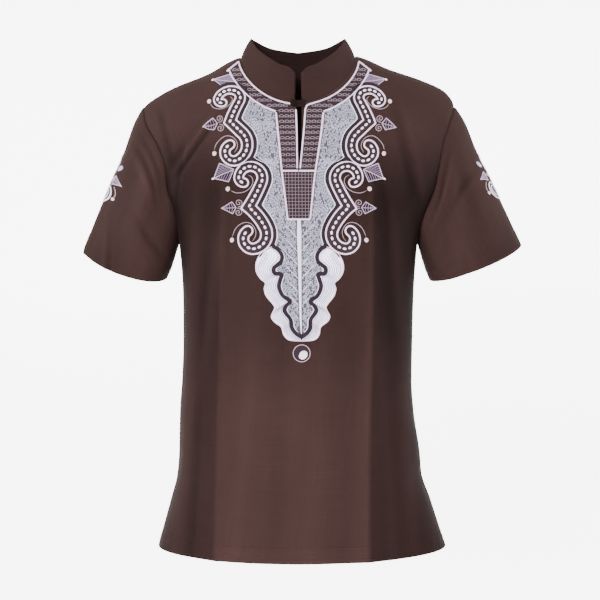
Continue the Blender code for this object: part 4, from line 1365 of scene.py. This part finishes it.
# Filled areas by role: thread, height, columns, lift and how far in the edge rises
FILLS = {
    "field": ("field", 0.3, 24, 0.0, 1.2),
    "lobes": ("lobes", 0.85, 18, 0.1, 3.0),
    "placket_ground": ("ground", 0.12, 14, 0.0, 1.0),
    "band_ground": ("ground", 0.12, 12, 0.0, 1.0),
    "patch_ground": ("ground", 0.15, 8, 0.0, 1.0),
}

# Sections of a cord, of a flat band, of a pad and of a stitch
ROUND_PROFILE = ((-1.0, -1.0), (-0.86, 0.5), (-0.45, 0.9), (0.0, 1.0), (0.45, 0.9), (0.86, 0.5), (1.0, -1.0))
FLAT_PROFILE = ((-1.0, -1.0), (-0.94, 0.8), (-0.5, 1.0), (0.0, 1.0), (0.5, 1.0), (0.94, 0.8), (1.0, -1.0))
PAD_SIDES = 12
PAD_PROFILE = ((1.0, None), (0.93, 0.5), (0.66, 0.88), (0.02, 1.0))
STITCH_ALONG = ((-0.5,), (-0.3,), (0.3,), (0.5,))
STITCH_SIDE = ((-0.3, 0, 0.3), (-1, 0, 1), (-1, 0, 1), (-0.3, 0, 0.3))
STITCH_RISE = ((0, 0.35, 0), (0, 1, 0), (0, 1, 0), (0, 0.35, 0))
TAPER_LEAST = 0.02
PATH_MITRE = 0.6

# Threads: name, colour, shadow between the stitches, pitch, and what differs from the usual gloss and
# roughness
THREADS = {
    "cords": ("white_cord", (0.60, 0.48, 0.60), (0.28, 0.21, 0.28), 0.6, {}),
    "fine": ("pale_lilac", (0.34, 0.26, 0.33), (0.17, 0.12, 0.165), 0.8, {}),
    "dark": ("dark", (0.0160, 0.0105, 0.0145), (0.008, 0.0055, 0.0075), 0.6,
             {"gloss": 0.03, "roughness": 0.8}),
    "ground": ("ground", (0.0220, 0.0135, 0.0170), (0.013, 0.0080, 0.0102), 0.7,
               {"gloss": 0.02, "roughness": 0.85}),
    "field": ("grey_under", (0.052, 0.047, 0.064), (0.026, 0.023, 0.032), 1.3,
              {"gloss": 0.06, "roughness": 0.7}),
    "silver": ("silver", (0.27, 0.26, 0.335), (0.155, 0.15, 0.20), 0.5, {}),
    "lobes": ("satin_lobe", (0.74, 0.72, 0.90), (0.40, 0.38, 0.52), 2.6, {"direction": "Y"}),
    "echo": ("bright_silver", (0.60, 0.58, 0.70), (0.37, 0.35, 0.44), 0.5, {}),
    "checks": ("check", (0.175, 0.130, 0.150), (0.095, 0.070, 0.082), 0.5, {}),
    "dashes": ("white_satin", (0.66, 0.58, 0.65), (0.36, 0.29, 0.36), 0.6, {}),
    "berries": ("cream_satin", (0.50, 0.40, 0.38), (0.26, 0.19, 0.18), 0.7, {}),
    "violet": ("violet", (0.22, 0.155, 0.27), (0.12, 0.08, 0.15), 0.8, {}),
    "stems": ("stem", (0.21, 0.155, 0.185), (0.12, 0.085, 0.105), 0.9, {}),
}


def thread_material(name, colour, shadow, pitch, direction="X", gloss=0.18, roughness=0.45):
    """Stitched thread: fine parallel stitches across the line, with shade between them."""
    material, tree, shader = new_material(name + "_thread", Roughness=roughness, Specular_IOR_Level=gloss)
    stitch = bands(tree, 1, 0.12, pitch, direction, Distortion=1.6, Detail=1.5, Detail_Scale=1.2)
    factor = combined(tree, stitch, noise(tree, 0.35, 0.35, 3.0))
    bump = add_node(tree, "Bump", {"Height": factor, "Strength": 0.5, "Distance": 0.00022})
    tree.links.new(blended(tree, factor, 0.35, 1.15, (*shadow, 1), (*colour, 1)), shader.inputs["Base Color"])
    tree.links.new(bump.outputs["Normal"], shader.inputs["Normal"])
    return material


def axis_at(z):
    return AXIS("middle", z)


def on_front(side):
    """Placing function for one half of the front: pattern coordinates and a lift to points in space."""
    def place(u, z, lift):
        skew = AXIS("skew", z) * np.clip(np.abs(u) / SKEW_REACH, 0, 1)
        x = axis_at(z) + side * (u + skew)
        z = np.minimum(z, shoulder_height(x) - 0.5)
        base = np.stack([x, panel_y(x, z, "front"), z], axis=-1)
        relief = fold_height(x, z, SMALL_FOLDS["front"]) + crease_edge(base)[0]
        return base + panel_normals(base, "front") * (np.asarray(lift) + relief)[..., None]
    return place


def on_sleeve(outer, normals, turn_at):
    """Placing function for a patch on a sleeve, centred at a turn round it."""
    rows, columns = outer.shape[:2]

    def place(u, z, lift):
        across = (turn_at + u / PATCH_GIRTH) * columns
        along = PATCH_ALONG - z / PATCH_LENGTH - PATCH_SLOPE * np.abs(u) / PATCH_GIRTH
        down = np.clip(along * (rows - 1), 0, rows - 1.001)
        j, i = np.floor(down).astype(int), np.floor(across).astype(int)
        s, t = (down - j)[..., None], (across - i)[..., None]
        i0, i1 = i % columns, (i + 1) % columns

        def blend(values):
            above = values[j, i0] * (1 - t) + values[j, i1] * t
            below = values[j + 1, i0] * (1 - t) + values[j + 1, i1] * t
            return above * (1 - s) + below * s
        return blend(outer) + unit(blend(normals)) * np.asarray(lift)[..., None]
    return place


class Stitching:
    """Collects stitched relief of one thread: strips and pads laid on the cloth by a placing function."""

    def __init__(self):
        self.points, self.faces, self.uv, self.count, self.waiting = [], [], [], 0, []

    def add(self, points, faces, uv, turned):
        self.points.append(points.reshape(-1, 3))
        self.faces.append((faces[:, ::-1] if turned else faces) + self.count)
        self.uv.append(uv.reshape(-1, 2))
        self.count += points.size // 3

    def add_grid(self, place, u, z, lift, uv, closed=False):
        points = place(u, z, lift)
        rows, columns = u.shape
        index = np.arange(rows * columns).reshape(rows, columns)
        faces = quads(np.concatenate([index, index[:1]]) if closed else index)
        j, i = rows // 2 - (rows > 1), columns // 2 - 1
        out = place(u, z, lift + 1.0)[j, i] - points[j, i]
        cross = np.cross(points[j, i + 1] - points[j, i], points[(j + 1) % rows, i] - points[j, i])
        self.add(points, faces, uv, np.dot(cross, out) < 0)

    def ribbon(self, place, path, half, height, lift, closed=False, taper=0.0, flat=False):
        """Rounded cord or flat band along a path; half may be one value or one for each point."""
        normal, run = sideways(path, closed), run_along(path)
        half = np.broadcast_to(np.asarray(half, dtype=float), (len(path),)).copy()
        if taper:
            half *= np.sqrt(np.clip(np.minimum(run, run[-1] - run) / taper, TAPER_LEAST, 1))
        off, rise = np.array(FLAT_PROFILE if flat else ROUND_PROFILE).T
        side = half[:, None] * off
        tall = height * np.minimum(1, half / half.max())[:, None] * rise
        high = lift + np.where(rise > 0, tall, -SUNK)
        uv = np.stack([run[:, None] + 0 * side, side], axis=-1)
        u, z = path[:, :1] + normal[:, :1] * side, path[:, 1:] + normal[:, 1:] * side
        self.add_grid(place, u, z, high, uv, closed)

    def pad(self, place, centre, angle, size, height, lift):
        """Satin dash: a domed ellipse, long in the direction of its angle in radians."""
        ring = np.linspace(0, 2 * math.pi, PAD_SIDES + 1)
        shares = np.array([share for share, _ in PAD_PROFILE])[:, None]
        high = np.array([-SUNK if rise is None else rise * height for _, rise in PAD_PROFILE])[:, None]
        a, b = shares * np.cos(ring) * size[0] / 2, shares * np.sin(ring) * size[1] / 2
        u, z = turned_by(angle, a, b, centre)
        self.add_grid(place, u, z, lift + high + 0 * a, np.stack([a, b], axis=-1))

    def stitch(self, centre, angle, length, width, height, lift):
        """Single short stitch, placed later: a low ridge with pointed ends."""
        side = np.array(STITCH_SIDE) * width / 2
        along = np.array(STITCH_ALONG) * length + 0 * side
        u, z = turned_by(angle, along, side, centre)
        self.waiting.append((u, z, lift + np.array(STITCH_RISE) * height, np.stack([along, side], axis=-1)))

    def flush(self, place):
        """Places all waiting stitches at once."""
        if self.waiting:
            u, z, high, uv = (np.array([row[k] for row in self.waiting]) for k in range(4))
            points = place(u, z, high)
            out = place(u[0], z[0], high[0] + 1.0)[1, 0] - points[0, 1, 0]
            cross = np.cross(points[0, 1, 1] - points[0, 1, 0], points[0, 2, 0] - points[0, 1, 0])
            self.add(points, quads(np.arange(u.size).reshape(u.shape)), uv, np.dot(cross, out) < 0)
            self.waiting = []

    def area(self, place, left, right, height, columns, lift, edge):
        """Filled field between two matching lines of points, with its edges sunk into the cloth."""
        share = np.linspace(0, 1, columns + 1)
        u = left[:, :1] + (right - left)[:, :1] * share
        z = left[:, 1:] + (right - left)[:, 1:] * share
        width = np.linalg.norm(right - left, axis=1)[:, None]
        to_edge = np.minimum(share, 1 - share) * width
        high = lift + height * np.sqrt(np.clip(to_edge / edge, 0, 1)) - SUNK * (to_edge <= 0)
        run = run_along((left + right) / 2)
        self.add_grid(place, u, z, high, np.stack([run[:, None] + 0 * u, share * width], axis=-1))

    def build(self, key):
        name, colour, shadow, pitch, options = THREADS[key]
        material = thread_material(name, colour, shadow, pitch, **options)
        return make_mesh("embroidery_" + key, *map(np.concatenate, (self.points, self.faces)), material,
                         np.concatenate(self.uv))


class Embroidery:
    """Every thread, drawn by role where the present placing function puts it."""

    def __init__(self):
        self.threads = {key: Stitching() for key in THREADS}
        self.place = None

    def line(self, role, path, half=None, **options):
        thread, usual, height, lift = LINES[role]
        half = usual if half is None else half
        self.threads[thread].ribbon(self.place, path, half, height, lift, **options)

    def pad(self, role, centre, angle, size=None):
        thread, usual, height, lift = PADS[role]
        self.threads[thread].pad(self.place, centre, angle, size or usual, height, lift)

    def stitch(self, role, centre, angle):
        self.threads["checks"].stitch(centre, angle, *STITCHES[role])

    def fill(self, role, left, right):
        self.threads[FILLS[role][0]].area(self.place, left, right, *FILLS[role][1:])

    def begin(self, place):
        self.place = place

    def finish(self):
        for stitches in self.threads.values():
            stitches.flush(self.place)


def turned_by(angle, along, side, centre):
    """Points given along and beside a direction, in pattern coordinates."""
    return (centre[0] + along * math.cos(angle) - side * math.sin(angle),
            centre[1] + along * math.sin(angle) + side * math.cos(angle))


def safe_unit(vectors):
    return vectors / np.maximum(np.linalg.norm(vectors, axis=-1, keepdims=True), 1e-9)


def sideways(path, closed=False):
    """Directions to the left of a path, longer where it turns, so that lines beside it keep their distance."""
    if closed:
        before, after = np.roll(path, 1, 0), np.roll(path, -1, 0)
    else:
        before, after = np.vstack([path[:1], path[:-1]]), np.vstack([path[1:], path[-1:]])
    first, second = safe_unit(path - before), safe_unit(after - path)
    if not closed:
        first[0], second[-1] = second[0], first[-1]
    tangent = safe_unit(first + second)
    mitre = 1 / np.clip(np.sum(tangent * first, axis=1, keepdims=True), PATH_MITRE, 1)
    return np.stack([-tangent[:, 1], tangent[:, 0]], axis=1) * mitre


def turtle(start, heading, moves):
    """Points of a path made of arcs: each move has a length and a turn in degrees; no length is a corner."""
    points, at, angle = [np.array(start)], np.array(start), math.radians(heading)
    for length, turn in moves:
        turn = math.radians(turn)
        if length <= 0:
            angle += turn
            continue
        count = max(2, round(length / PATH_STEP))
        for _ in range(count):
            angle += turn / count / 2
            at = at + np.array([math.cos(angle), math.sin(angle)]) * length / count
            angle += turn / count / 2
            points.append(at)
    return np.array(points)


def beside(path, distance):
    """Line at a distance to the left of a path, without the points that fall inside a tight corner."""
    moved = path + sideways(path) * np.reshape(distance, (-1, 1))
    gaps = np.linalg.norm(moved[:, None] - path[None], axis=2).min(axis=1)
    return moved[gaps > 0.95 * np.abs(np.broadcast_to(distance, gaps.shape))]


def closed_outline(path, width):
    """Line all round a band: along one side, round its end, back along the other side and round its start."""
    left, right = beside(path, width), beside(path, -width)

    def cap(centre, start):
        half = np.linalg.norm(start - centre)
        angles = math.atan2(*(start - centre)[::-1]) + np.linspace(0, -math.pi, 9)[1:-1]
        return centre + half * np.stack([np.cos(angles), np.sin(angles)], axis=1)
    return np.vstack([left, cap(path[-1], left[-1]), right[::-1], cap(path[0], right[0])])


def points_at(path, run, places):
    return np.stack([np.interp(places, run, path[:, k]) for k in (0, 1)], axis=-1)


def matched(path, count):
    """The same line with a number of evenly spaced points."""
    run = run_along(path)
    return points_at(path, run, np.linspace(0, run[-1], count))


def even_path(path, closed=False):
    """The same line with evenly spaced points at the usual step."""
    path = np.array(path)
    if closed:
        path = np.vstack([path, path[:1]])
    even = matched(path, max(2, round(run_along(path)[-1] / PATH_STEP)) + 1)
    return even[:-1] if closed else even


def smooth_line(points, per_span=8):
    """Smooth line through a few points."""
    points = np.asarray(points, dtype=float)
    padded = np.vstack([2 * points[0] - points[1], points, 2 * points[-1] - points[-2]])
    t = np.linspace(0, 1, per_span, endpoint=False)[:, None]
    spans = []
    for p0, p1, p2, p3 in zip(padded, padded[1:], padded[2:], padded[3:]):
        spans.append(0.5 * (2 * p1 + (p2 - p0) * t + (2 * p0 - 5 * p1 + 4 * p2 - p3) * t**2
                            + (3 * p1 - p0 - 3 * p2 + p3) * t**3))
    return np.vstack([*spans, points[-1]])


def smooth_noise(path):
    """Path with small steps averaged out."""
    padded = np.vstack([path[:1]] * 2 + [path] + [path[-1:]] * 2)
    return np.stack([np.convolve(padded[:, k], np.ones(5) / 5, "valid") for k in (0, 1)], axis=1)


def stations(path, spacing, start):
    """Places and headings at even distances along a path."""
    run = run_along(path)
    for at in np.arange(start, run[-1] - start * 0.4, spacing):
        here, ahead, behind = points_at(path, run, np.array([at, at + 0.8, at - 0.8]))
        yield here, math.atan2(*(ahead - behind)[::-1])


def spiral(centre, radius, start, turns, inward, points):
    """Small curl: from its outer end inward."""
    t = np.linspace(0, 1, points)
    r = radius * (1 - (1 - inward) * t)
    angle = math.radians(start) + 2 * math.pi * turns * t
    return np.stack([centre[0] + r * np.cos(angle), centre[1] + r * np.sin(angle)], axis=1)


def level_line(z, start, end):
    """Points across the pattern at one height."""
    return np.array([(u, z) for u in np.arange(start, end, PATH_STEP)])


def upright_line(top, foot, place):
    """Points down the pattern; place gives the distance from the middle at each height."""
    return np.array([(place(z), z) for z in np.arange(top, foot, -PATH_STEP)])


def scroll_paths():
    """Middle line of each scroll, its half-widths, and the dark line beside it towards the middle."""
    found = []
    for scroll in SCROLLS:
        path = turtle(scroll["start"], scroll["heading"], scroll["moves"])
        steps = range(len(scroll["half"]))
        width = np.interp(np.linspace(0, steps[-1], len(path)), steps, scroll["half"])
        found.append((path, width, beside(path, width + SHADOW_AWAY)))
    return found


def field_edge(scrolls):
    """Outer edge of the silver field at each height: the dark lines beside the scrolls, then the lobes."""
    edge = []
    for z in np.arange(*FIELD_HEIGHTS):
        found = []
        for line in (scrolls[0][2], scrolls[1][2], smooth_line(LOBES_IN)):
            above, below = line[:-1], line[1:]
            hit = (above[:, 1] - z) * (below[:, 1] - z) <= 0
            for a, b in zip(above[hit], below[hit]):
                share = (a[1] - z) / (a[1] - b[1]) if a[1] != b[1] else 0.5
                found.append(a[0] + (b[0] - a[0]) * share)
        edge.append((max(found) if found else edge[-1][0], z))
    return np.array(edge)


def edge_at(edge, z):
    return float(np.interp(-z, -edge[:, 1], edge[:, 0]))


def band_line(below):
    """Line at a distance below the neckline, from the shoulder to the middle, in pattern coordinates."""
    reach = NECK_HALF + below
    x = -np.sin(np.linspace(math.pi / 2, 0, 400)) * reach
    z = top_edge(x, "front", below)
    keep = (z < shoulder_height(x) - BAND_END) & (x > -0.985 * reach) & (x < 0)
    return even_path(np.stack([x[keep] - axis_at(z[keep]), z[keep]], axis=1))


def placket_half(z):
    return float(np.interp(z, *PLACKET))


def spine_half(z):
    return float(np.interp(z, *SPINE))


def slit_cord(side, z):
    return float(np.interp(z, (BAR_Z, SLIT_CORD_TOP), SLIT_CORDS[side]))


def field_inner(z):
    """Inner edge of the silver field: the border of the placket, and the spine below it."""
    return placket_half(z) + 1.2 if z > PANEL_FOOT else spine_half(z) + 0.6


def field_top(u):
    """Height of the neckband's outer cord at places across the chest."""
    return top_edge(u + axis_at(np.full_like(u, SLIT_CORD_TOP)), "front", BAND_OUTER)


def in_band(u, z, outer_band, inner_band):
    """Whether a place lies between the two cords of the neckband."""
    upper = np.vstack([outer_band[:1], inner_band])
    high, low = (np.interp(u, band[:, 0], band[:, 1]) for band in (upper, outer_band))
    return low + 2.4 < z < high - 2.6 and outer_band[0, 0] < u < -BAND_FROM_MIDDLE


def keep_inner(path):
    """The part of a scroll's dark line that is drawn: from the top of the upper curl to the lower curl."""
    top, low = int(np.argmax(path[:, 1])), int(np.argmin(path[:, 1]))
    index = np.arange(len(path))
    return path[(index >= top - 12) & (index <= low - 4)]


def stitch_rows(stitches, edge, rng):
    """Fills the silver field with rows of short stitches that follow its outer edge."""
    soft = edge.copy()
    for n in range(STITCH_ROWS):
        if n % 3 == 2:
            soft = smooth_noise(soft)
            soft[:, 0] = np.minimum(soft[:, 0], -0.5)
        line = soft + np.array([STITCH_FIRST + n * STITCH_PITCH, 0])
        inside = np.array([-field_inner(z) for z in line[:, 1]])
        good = (line[:, 0] < inside - 1.3) & (line[:, 1] < field_top(line[:, 0]) - 1.5)
        good &= line[:, 0] > edge[:, 0] + 2.6
        run = run_along(line)
        at = rng.uniform(0, 2)
        while at < run[-1]:
            fine = int(np.interp(at, run, line[:, 1]) < FINE_BELOW)
            length = rng.uniform(*STITCH_LENGTHS[fine])
            k = int(np.searchsorted(run, at + length / 2))
            skip = rng.random() < STITCH_SKIPS[fine]
            if 0 < k < len(line) and good[k] and not skip:
                here = points_at(line, run, at + length / 2) + rng.normal(0, STITCH_STRAY, 2)
                step = line[k] - line[k - 1]
                angle = math.atan2(step[1], step[0]) + rng.normal(0, STITCH_LEAN)
                size = rng.uniform(*STITCH_WIDTHS), rng.uniform(*STITCH_HEIGHTS)
                stitches.stitch(here, angle, length, *size, STITCH_LIFT)
            at += length + rng.uniform(*STITCH_GAPS)


def draw_scrolls(work, scrolls, lobe_in):
    """Dark stitched ground inside the scrolls, their cords and dashes, and the dark lines beside them."""
    for scroll, (path, width, dark) in zip(SCROLLS, scrolls):
        work.line("ground", path, width + 0.6, flat=True)
        work.line("scroll", even_path(closed_outline(path, width), closed=True), closed=True)
        for at, angle in stations(path, scroll["dash"], DASH_START):
            work.pad("dash", at, angle)
        work.line("scroll_shadow", even_path(keep_inner(dark)), flat=True)
    work.line("lobe_shadow", even_path(lobe_in), flat=True)
    for notch in NOTCHES:
        work.pad("notch", *notch)


def draw_field(work, edge, rng):
    """Silver field from the placket and the middle line to the dark lines."""
    inside = [(-(placket_half(z) if z > PANEL_FOOT else 0.0), z) for z in edge[:, 1]]
    both = np.vstack([edge, inside])
    both[:, 1] = np.minimum(both[:, 1], field_top(both[:, 0]))
    work.fill("field", both[: len(edge)], both[len(edge) :])
    stitch_rows(work.threads["silver"], edge, rng)
    inset = smooth_noise(edge) + np.array([ECHO_AWAY, 0])
    good = (inset[:, 1] < field_top(inset[:, 0]) - 1) & (inset[:, 0] < -1.5)
    work.line("field_echo", even_path(inset[good]))


def draw_lobes(work, lobe_in, lobe_out):
    """Satin lobes with lines that repeat their edge."""
    lobe_edge = matched(beside(lobe_in, LOBE_AWAY), LOBE_POINTS)
    work.fill("lobes", lobe_edge, lobe_out)
    for share in LOBE_LINES:
        line = even_path(smooth_noise(lobe_edge + (lobe_out - lobe_edge) * share))
        work.line("dark_lobe_line" if share < DARK_LINES else "pale_lobe_line", line, taper=30)
    work.line("lobe_edge", even_path(lobe_out))


def draw_placket(work, side, outer_band, inner_band):
    """Cords of the placket, the slit, the bar and the neckband."""
    work.line("border", upright_line(PLACKET_TOP, PANEL_FOOT, lambda z: -placket_half(z)))
    slit = upright_line(SLIT_CORD_TOP - 1, BAR_Z + 2.5, lambda z: -slit_cord(side, z))
    if side == -1:
        turn = inner_band[inner_band[:, 0] < -17.0][::12]
        bend = np.vstack([turn, (-11.5, -83.5), (-8.6, -88.5), slit[::10]])
        work.line("slit", even_path(smooth_line(bend)))
    else:
        work.line("slit", slit)
        work.line("neck", inner_band[inner_band[:, 0] < -12])
    work.line("bar", level_line(BAR_Z, -placket_half(BAR_Z), 0.3))
    work.line("band", outer_band[outer_band[:, 0] < -placket_half(PLACKET_TOP) + 0.5])
    work.line("band", even_path([outer_band[0], inner_band[0]]))
    work.line("foot", level_line(PANEL_FOOT, -placket_half(PANEL_FOOT), 0.3))


def draw_spine(work, side, edge):
    """Spine, and the veins that rise from it."""
    if side == 1:
        spine = upright_line(PANEL_FOOT, SPINE_FOOT, lambda z: 0.0)
        work.line("spine", spine, np.array([spine_half(z) for z in spine[:, 1]]))
    for n, z in enumerate(np.arange(*VEINS)):
        length = np.clip(-edge_at(edge, z) - 6.5, *VEIN_LENGTH)
        out = np.linspace(1.5, length, VEIN_POINTS)
        vein = np.stack([-out, z + VEIN_CURVE[0] * out + VEIN_CURVE[1] * out**2], axis=1)
        keep = np.array([-edge_at(edge, high) - 3.6 > -u for u, high in vein])
        if keep.sum() > 4:
            work.line("faint_vein" if n % 2 else "vein", vein[keep], taper=8)


def draw_ovals(work, side, outer_band, inner_band):
    """Rows of small linked ovals in the placket and the neckband."""
    ring = np.linspace(0, 2 * math.pi, 17)[:-1]
    for z in np.arange(OVAL_FIRST, BAR_Z + 3, -OVAL_ROW):
        low = z < BAND_ROWS_TO
        first = slit_cord(side, z) + 5.6 if low else 5.0
        for k in range(OVALS_ACROSS):
            u = -(first + k * OVAL_STEP)
            wide = min(OVAL_HALF[0], (placket_half(z) + u if z < BORDER_FROM else OVAL_ROOM) - 1.6)
            in_placket = low and -u <= placket_half(z) - 2.4
            if not (in_placket or in_band(u, z, outer_band, inner_band)) or wide < OVAL_LEAST:
                continue
            oval = np.stack([u + wide * np.cos(ring), z + OVAL_HALF[1] * np.sin(ring)], axis=1)
            work.line("oval", oval, closed=True)
            link = u - OVAL_STEP / 2
            in_border = z > BORDER_FROM and in_band(link, z, outer_band, inner_band)
            if -link < placket_half(z) - 1.6 or in_border:
                work.stitch("link", (link, z), 0.0)
            for lean in (-1, 1):
                work.stitch("lean", (u + lean * 2.5, z + lean * 0.2 - 2.2), lean * 0.9)


def draw_checks(work, side, outer_band, inner_band):
    """Ovals of the placket and the neckband, the fine grid below the bar, and their dark ground."""
    draw_ovals(work, side, outer_band, inner_band)
    for k in range(GRID_LINES):
        u = -k * GRID_PITCH
        foot = PANEL_FOOT
        if placket_half(PANEL_FOOT) <= -u:
            foot = np.interp(-u, PLACKET[1][:2], (PANEL_FOOT, BAR_Z))
        line = upright_line(BAR_Z - 1, foot, lambda z: u)
        if len(line) > 3 and (k or side == 1):
            work.line("grid", line)
    for z in np.arange(BAR_Z - GRID_PITCH, PANEL_FOOT, -GRID_PITCH):
        work.line("grid", level_line(z, -placket_half(z) + 1, 0.3))
    heights = np.arange(-93.0, PANEL_FOOT - 1, -2.0)
    left = np.array([(-placket_half(z), z) for z in heights])
    right = np.array([(-slit_cord(side, z) if z > BAR_Z else 0.2, z) for z in heights])
    work.fill("placket_ground", left, right)
    bands_beside = (band[band[:, 0] < -BAND_FROM_MIDDLE] for band in (outer_band, inner_band))
    work.fill("band_ground", *(matched(band, 200) for band in bands_beside))


def draw_small_motifs(work):
    for arrow in ARROWS:
        tip, upper, notch, lower = np.array(arrow["corners"])
        work.line("arrow", even_path(arrow["corners"], closed=True), closed=True)
        work.line("arrow_middle", even_path([tip, notch]), taper=3)
        for share in (0.36, 0.56, 0.76):
            for corner in (upper, lower):
                ends = [tip + (notch - tip) * share, tip + (corner - tip) * min(1.0, share + 0.14)]
                work.line("arrow_hatch", even_path(ends))
        for centre, way in zip(arrow["curls"], (1, -1)):
            turned = {"start": way * CURL["start"], "turns": way * CURL["turns"]}
            work.line("curl", spiral(centre, **{**CURL, **turned}))
    for corners_of in SQUARES:
        tip, upper, inner, lower = np.array(corners_of)
        work.line("square", even_path(corners_of, closed=True), closed=True)
        work.line("square_middle", even_path([tip, inner]))
        for share in np.linspace(0.18, 0.90, 6):
            high = inner + (upper - inner) * share * 0.8
            work.line("square_hatch", even_path([tip + (upper - tip) * share, high]))
            work.line("square_hatch", even_path([tip + (inner - tip) * share, tip + (lower - tip) * share]))
        work.pad("square_dot", tip + np.array(SQUARE_DOT), 0.5)
    for berry in BERRIES:
        work.pad("berry", berry["at"], BERRY_LEAN)
        work.line("stem", even_path(smooth_line(berry["stem"])), taper=6)


def draw_patch(work, side):
    """One half of a sleeve patch: a looped cord, an arrowhead, two leaves and a berry on a stem."""
    def mirrored(points):
        return np.array(points, dtype=float) * np.array([side, 1])

    loop = even_path(smooth_line(mirrored(PATCH_LOOP + PATCH_LOOP[:1])), closed=True)
    middle = loop.mean(axis=0)
    work.fill("patch_ground", loop, np.repeat(middle[None], len(loop), axis=0))
    work.line("scroll", loop, closed=True)
    work.line("patch_inner", middle + (loop - middle) * PATCH_RINGS[0], closed=True)
    for at, angle in stations(middle + (loop - middle) * PATCH_RINGS[1], 3.4, 1.0):
        work.stitch("patch", at, angle)
    tip, upper, notch, lower = mirrored(PATCH_ARROW)
    work.line("patch_arrow", even_path([tip, upper, notch, lower], closed=True), closed=True)
    work.line("arrow_middle", even_path([tip, notch]), taper=3)
    for share in (0.3, 0.45, 0.6, 0.75, 0.9):
        for corner in (upper, lower):
            work.line("patch_hatch", even_path([tip + (notch - tip) * share, tip + (corner - tip) * share]))
    for centre, lean, size in PATCH_LEAVES:
        work.pad("patch_leaf", mirrored(centre), side * lean, size)
    work.line("scroll", even_path(smooth_line(mirrored(PATCH_CORD))))
    work.line("patch_stem", even_path(smooth_line(mirrored(PATCH_STEM))))
    work.pad("patch_berry", mirrored(PATCH_BERRY), BERRY_LEAN)


def embroider(surfaces):
    """All threads: both halves of the front, the same kinds of motif on each sleeve, and the ring below."""
    work = Embroidery()
    rng = np.random.default_rng(SEED)
    scrolls = scroll_paths()
    edge = field_edge(scrolls)
    cords = band_line(BAND_OUTER), band_line(BAND_INNER)
    lobe_in, lobe_out = (matched(smooth_line(line), LOBE_POINTS) for line in (LOBES_IN, LOBES_OUT))
    for side in (1, -1):
        work.begin(on_front(side))
        draw_scrolls(work, scrolls, lobe_in)
        draw_field(work, edge, rng)
        draw_lobes(work, lobe_in, lobe_out)
        draw_placket(work, side, *cords)
        draw_spine(work, side, edge)
        draw_checks(work, side, *cords)
        draw_small_motifs(work)
        work.finish()
    for name, turn in SLEEVE_PATCHES.items():
        work.begin(on_sleeve(*surfaces[name], turn))
        for side in (1, -1):
            draw_patch(work, side)
        work.finish()
    work.begin(on_front(1))
    angles = np.linspace(0, 2 * math.pi, 61)[:-1]
    ring = np.array(RING_AT) + RING_RADIUS * np.stack([np.cos(angles), np.sin(angles)], axis=1)
    work.line("ring", ring, closed=True)
    work.pad("ring_ground", RING_AT, 0)
    work.pad("ring_dot", DOT_AT, 0.8)
    return work.threads


def corners(pair):
    return [[float(v) for v in corner] for corner in pair]


make_camera()
make_lights()
make_floor()
pieces, surfaces, neckline = build_panels()
collar, tab, button = build_collar(neckline), build_tab(), build_button()
for piece, slot in [(cut, "cloth") for cut in (*pieces.values(), collar, tab)] + [(button, "button")]:
    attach(piece, "root")
for key, stitches in embroider(surfaces).items():
    piece = stitches.build(key)
    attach(piece, "root")

{"cad": corners((cad_low, cad_high)), "visual": corners(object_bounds())}
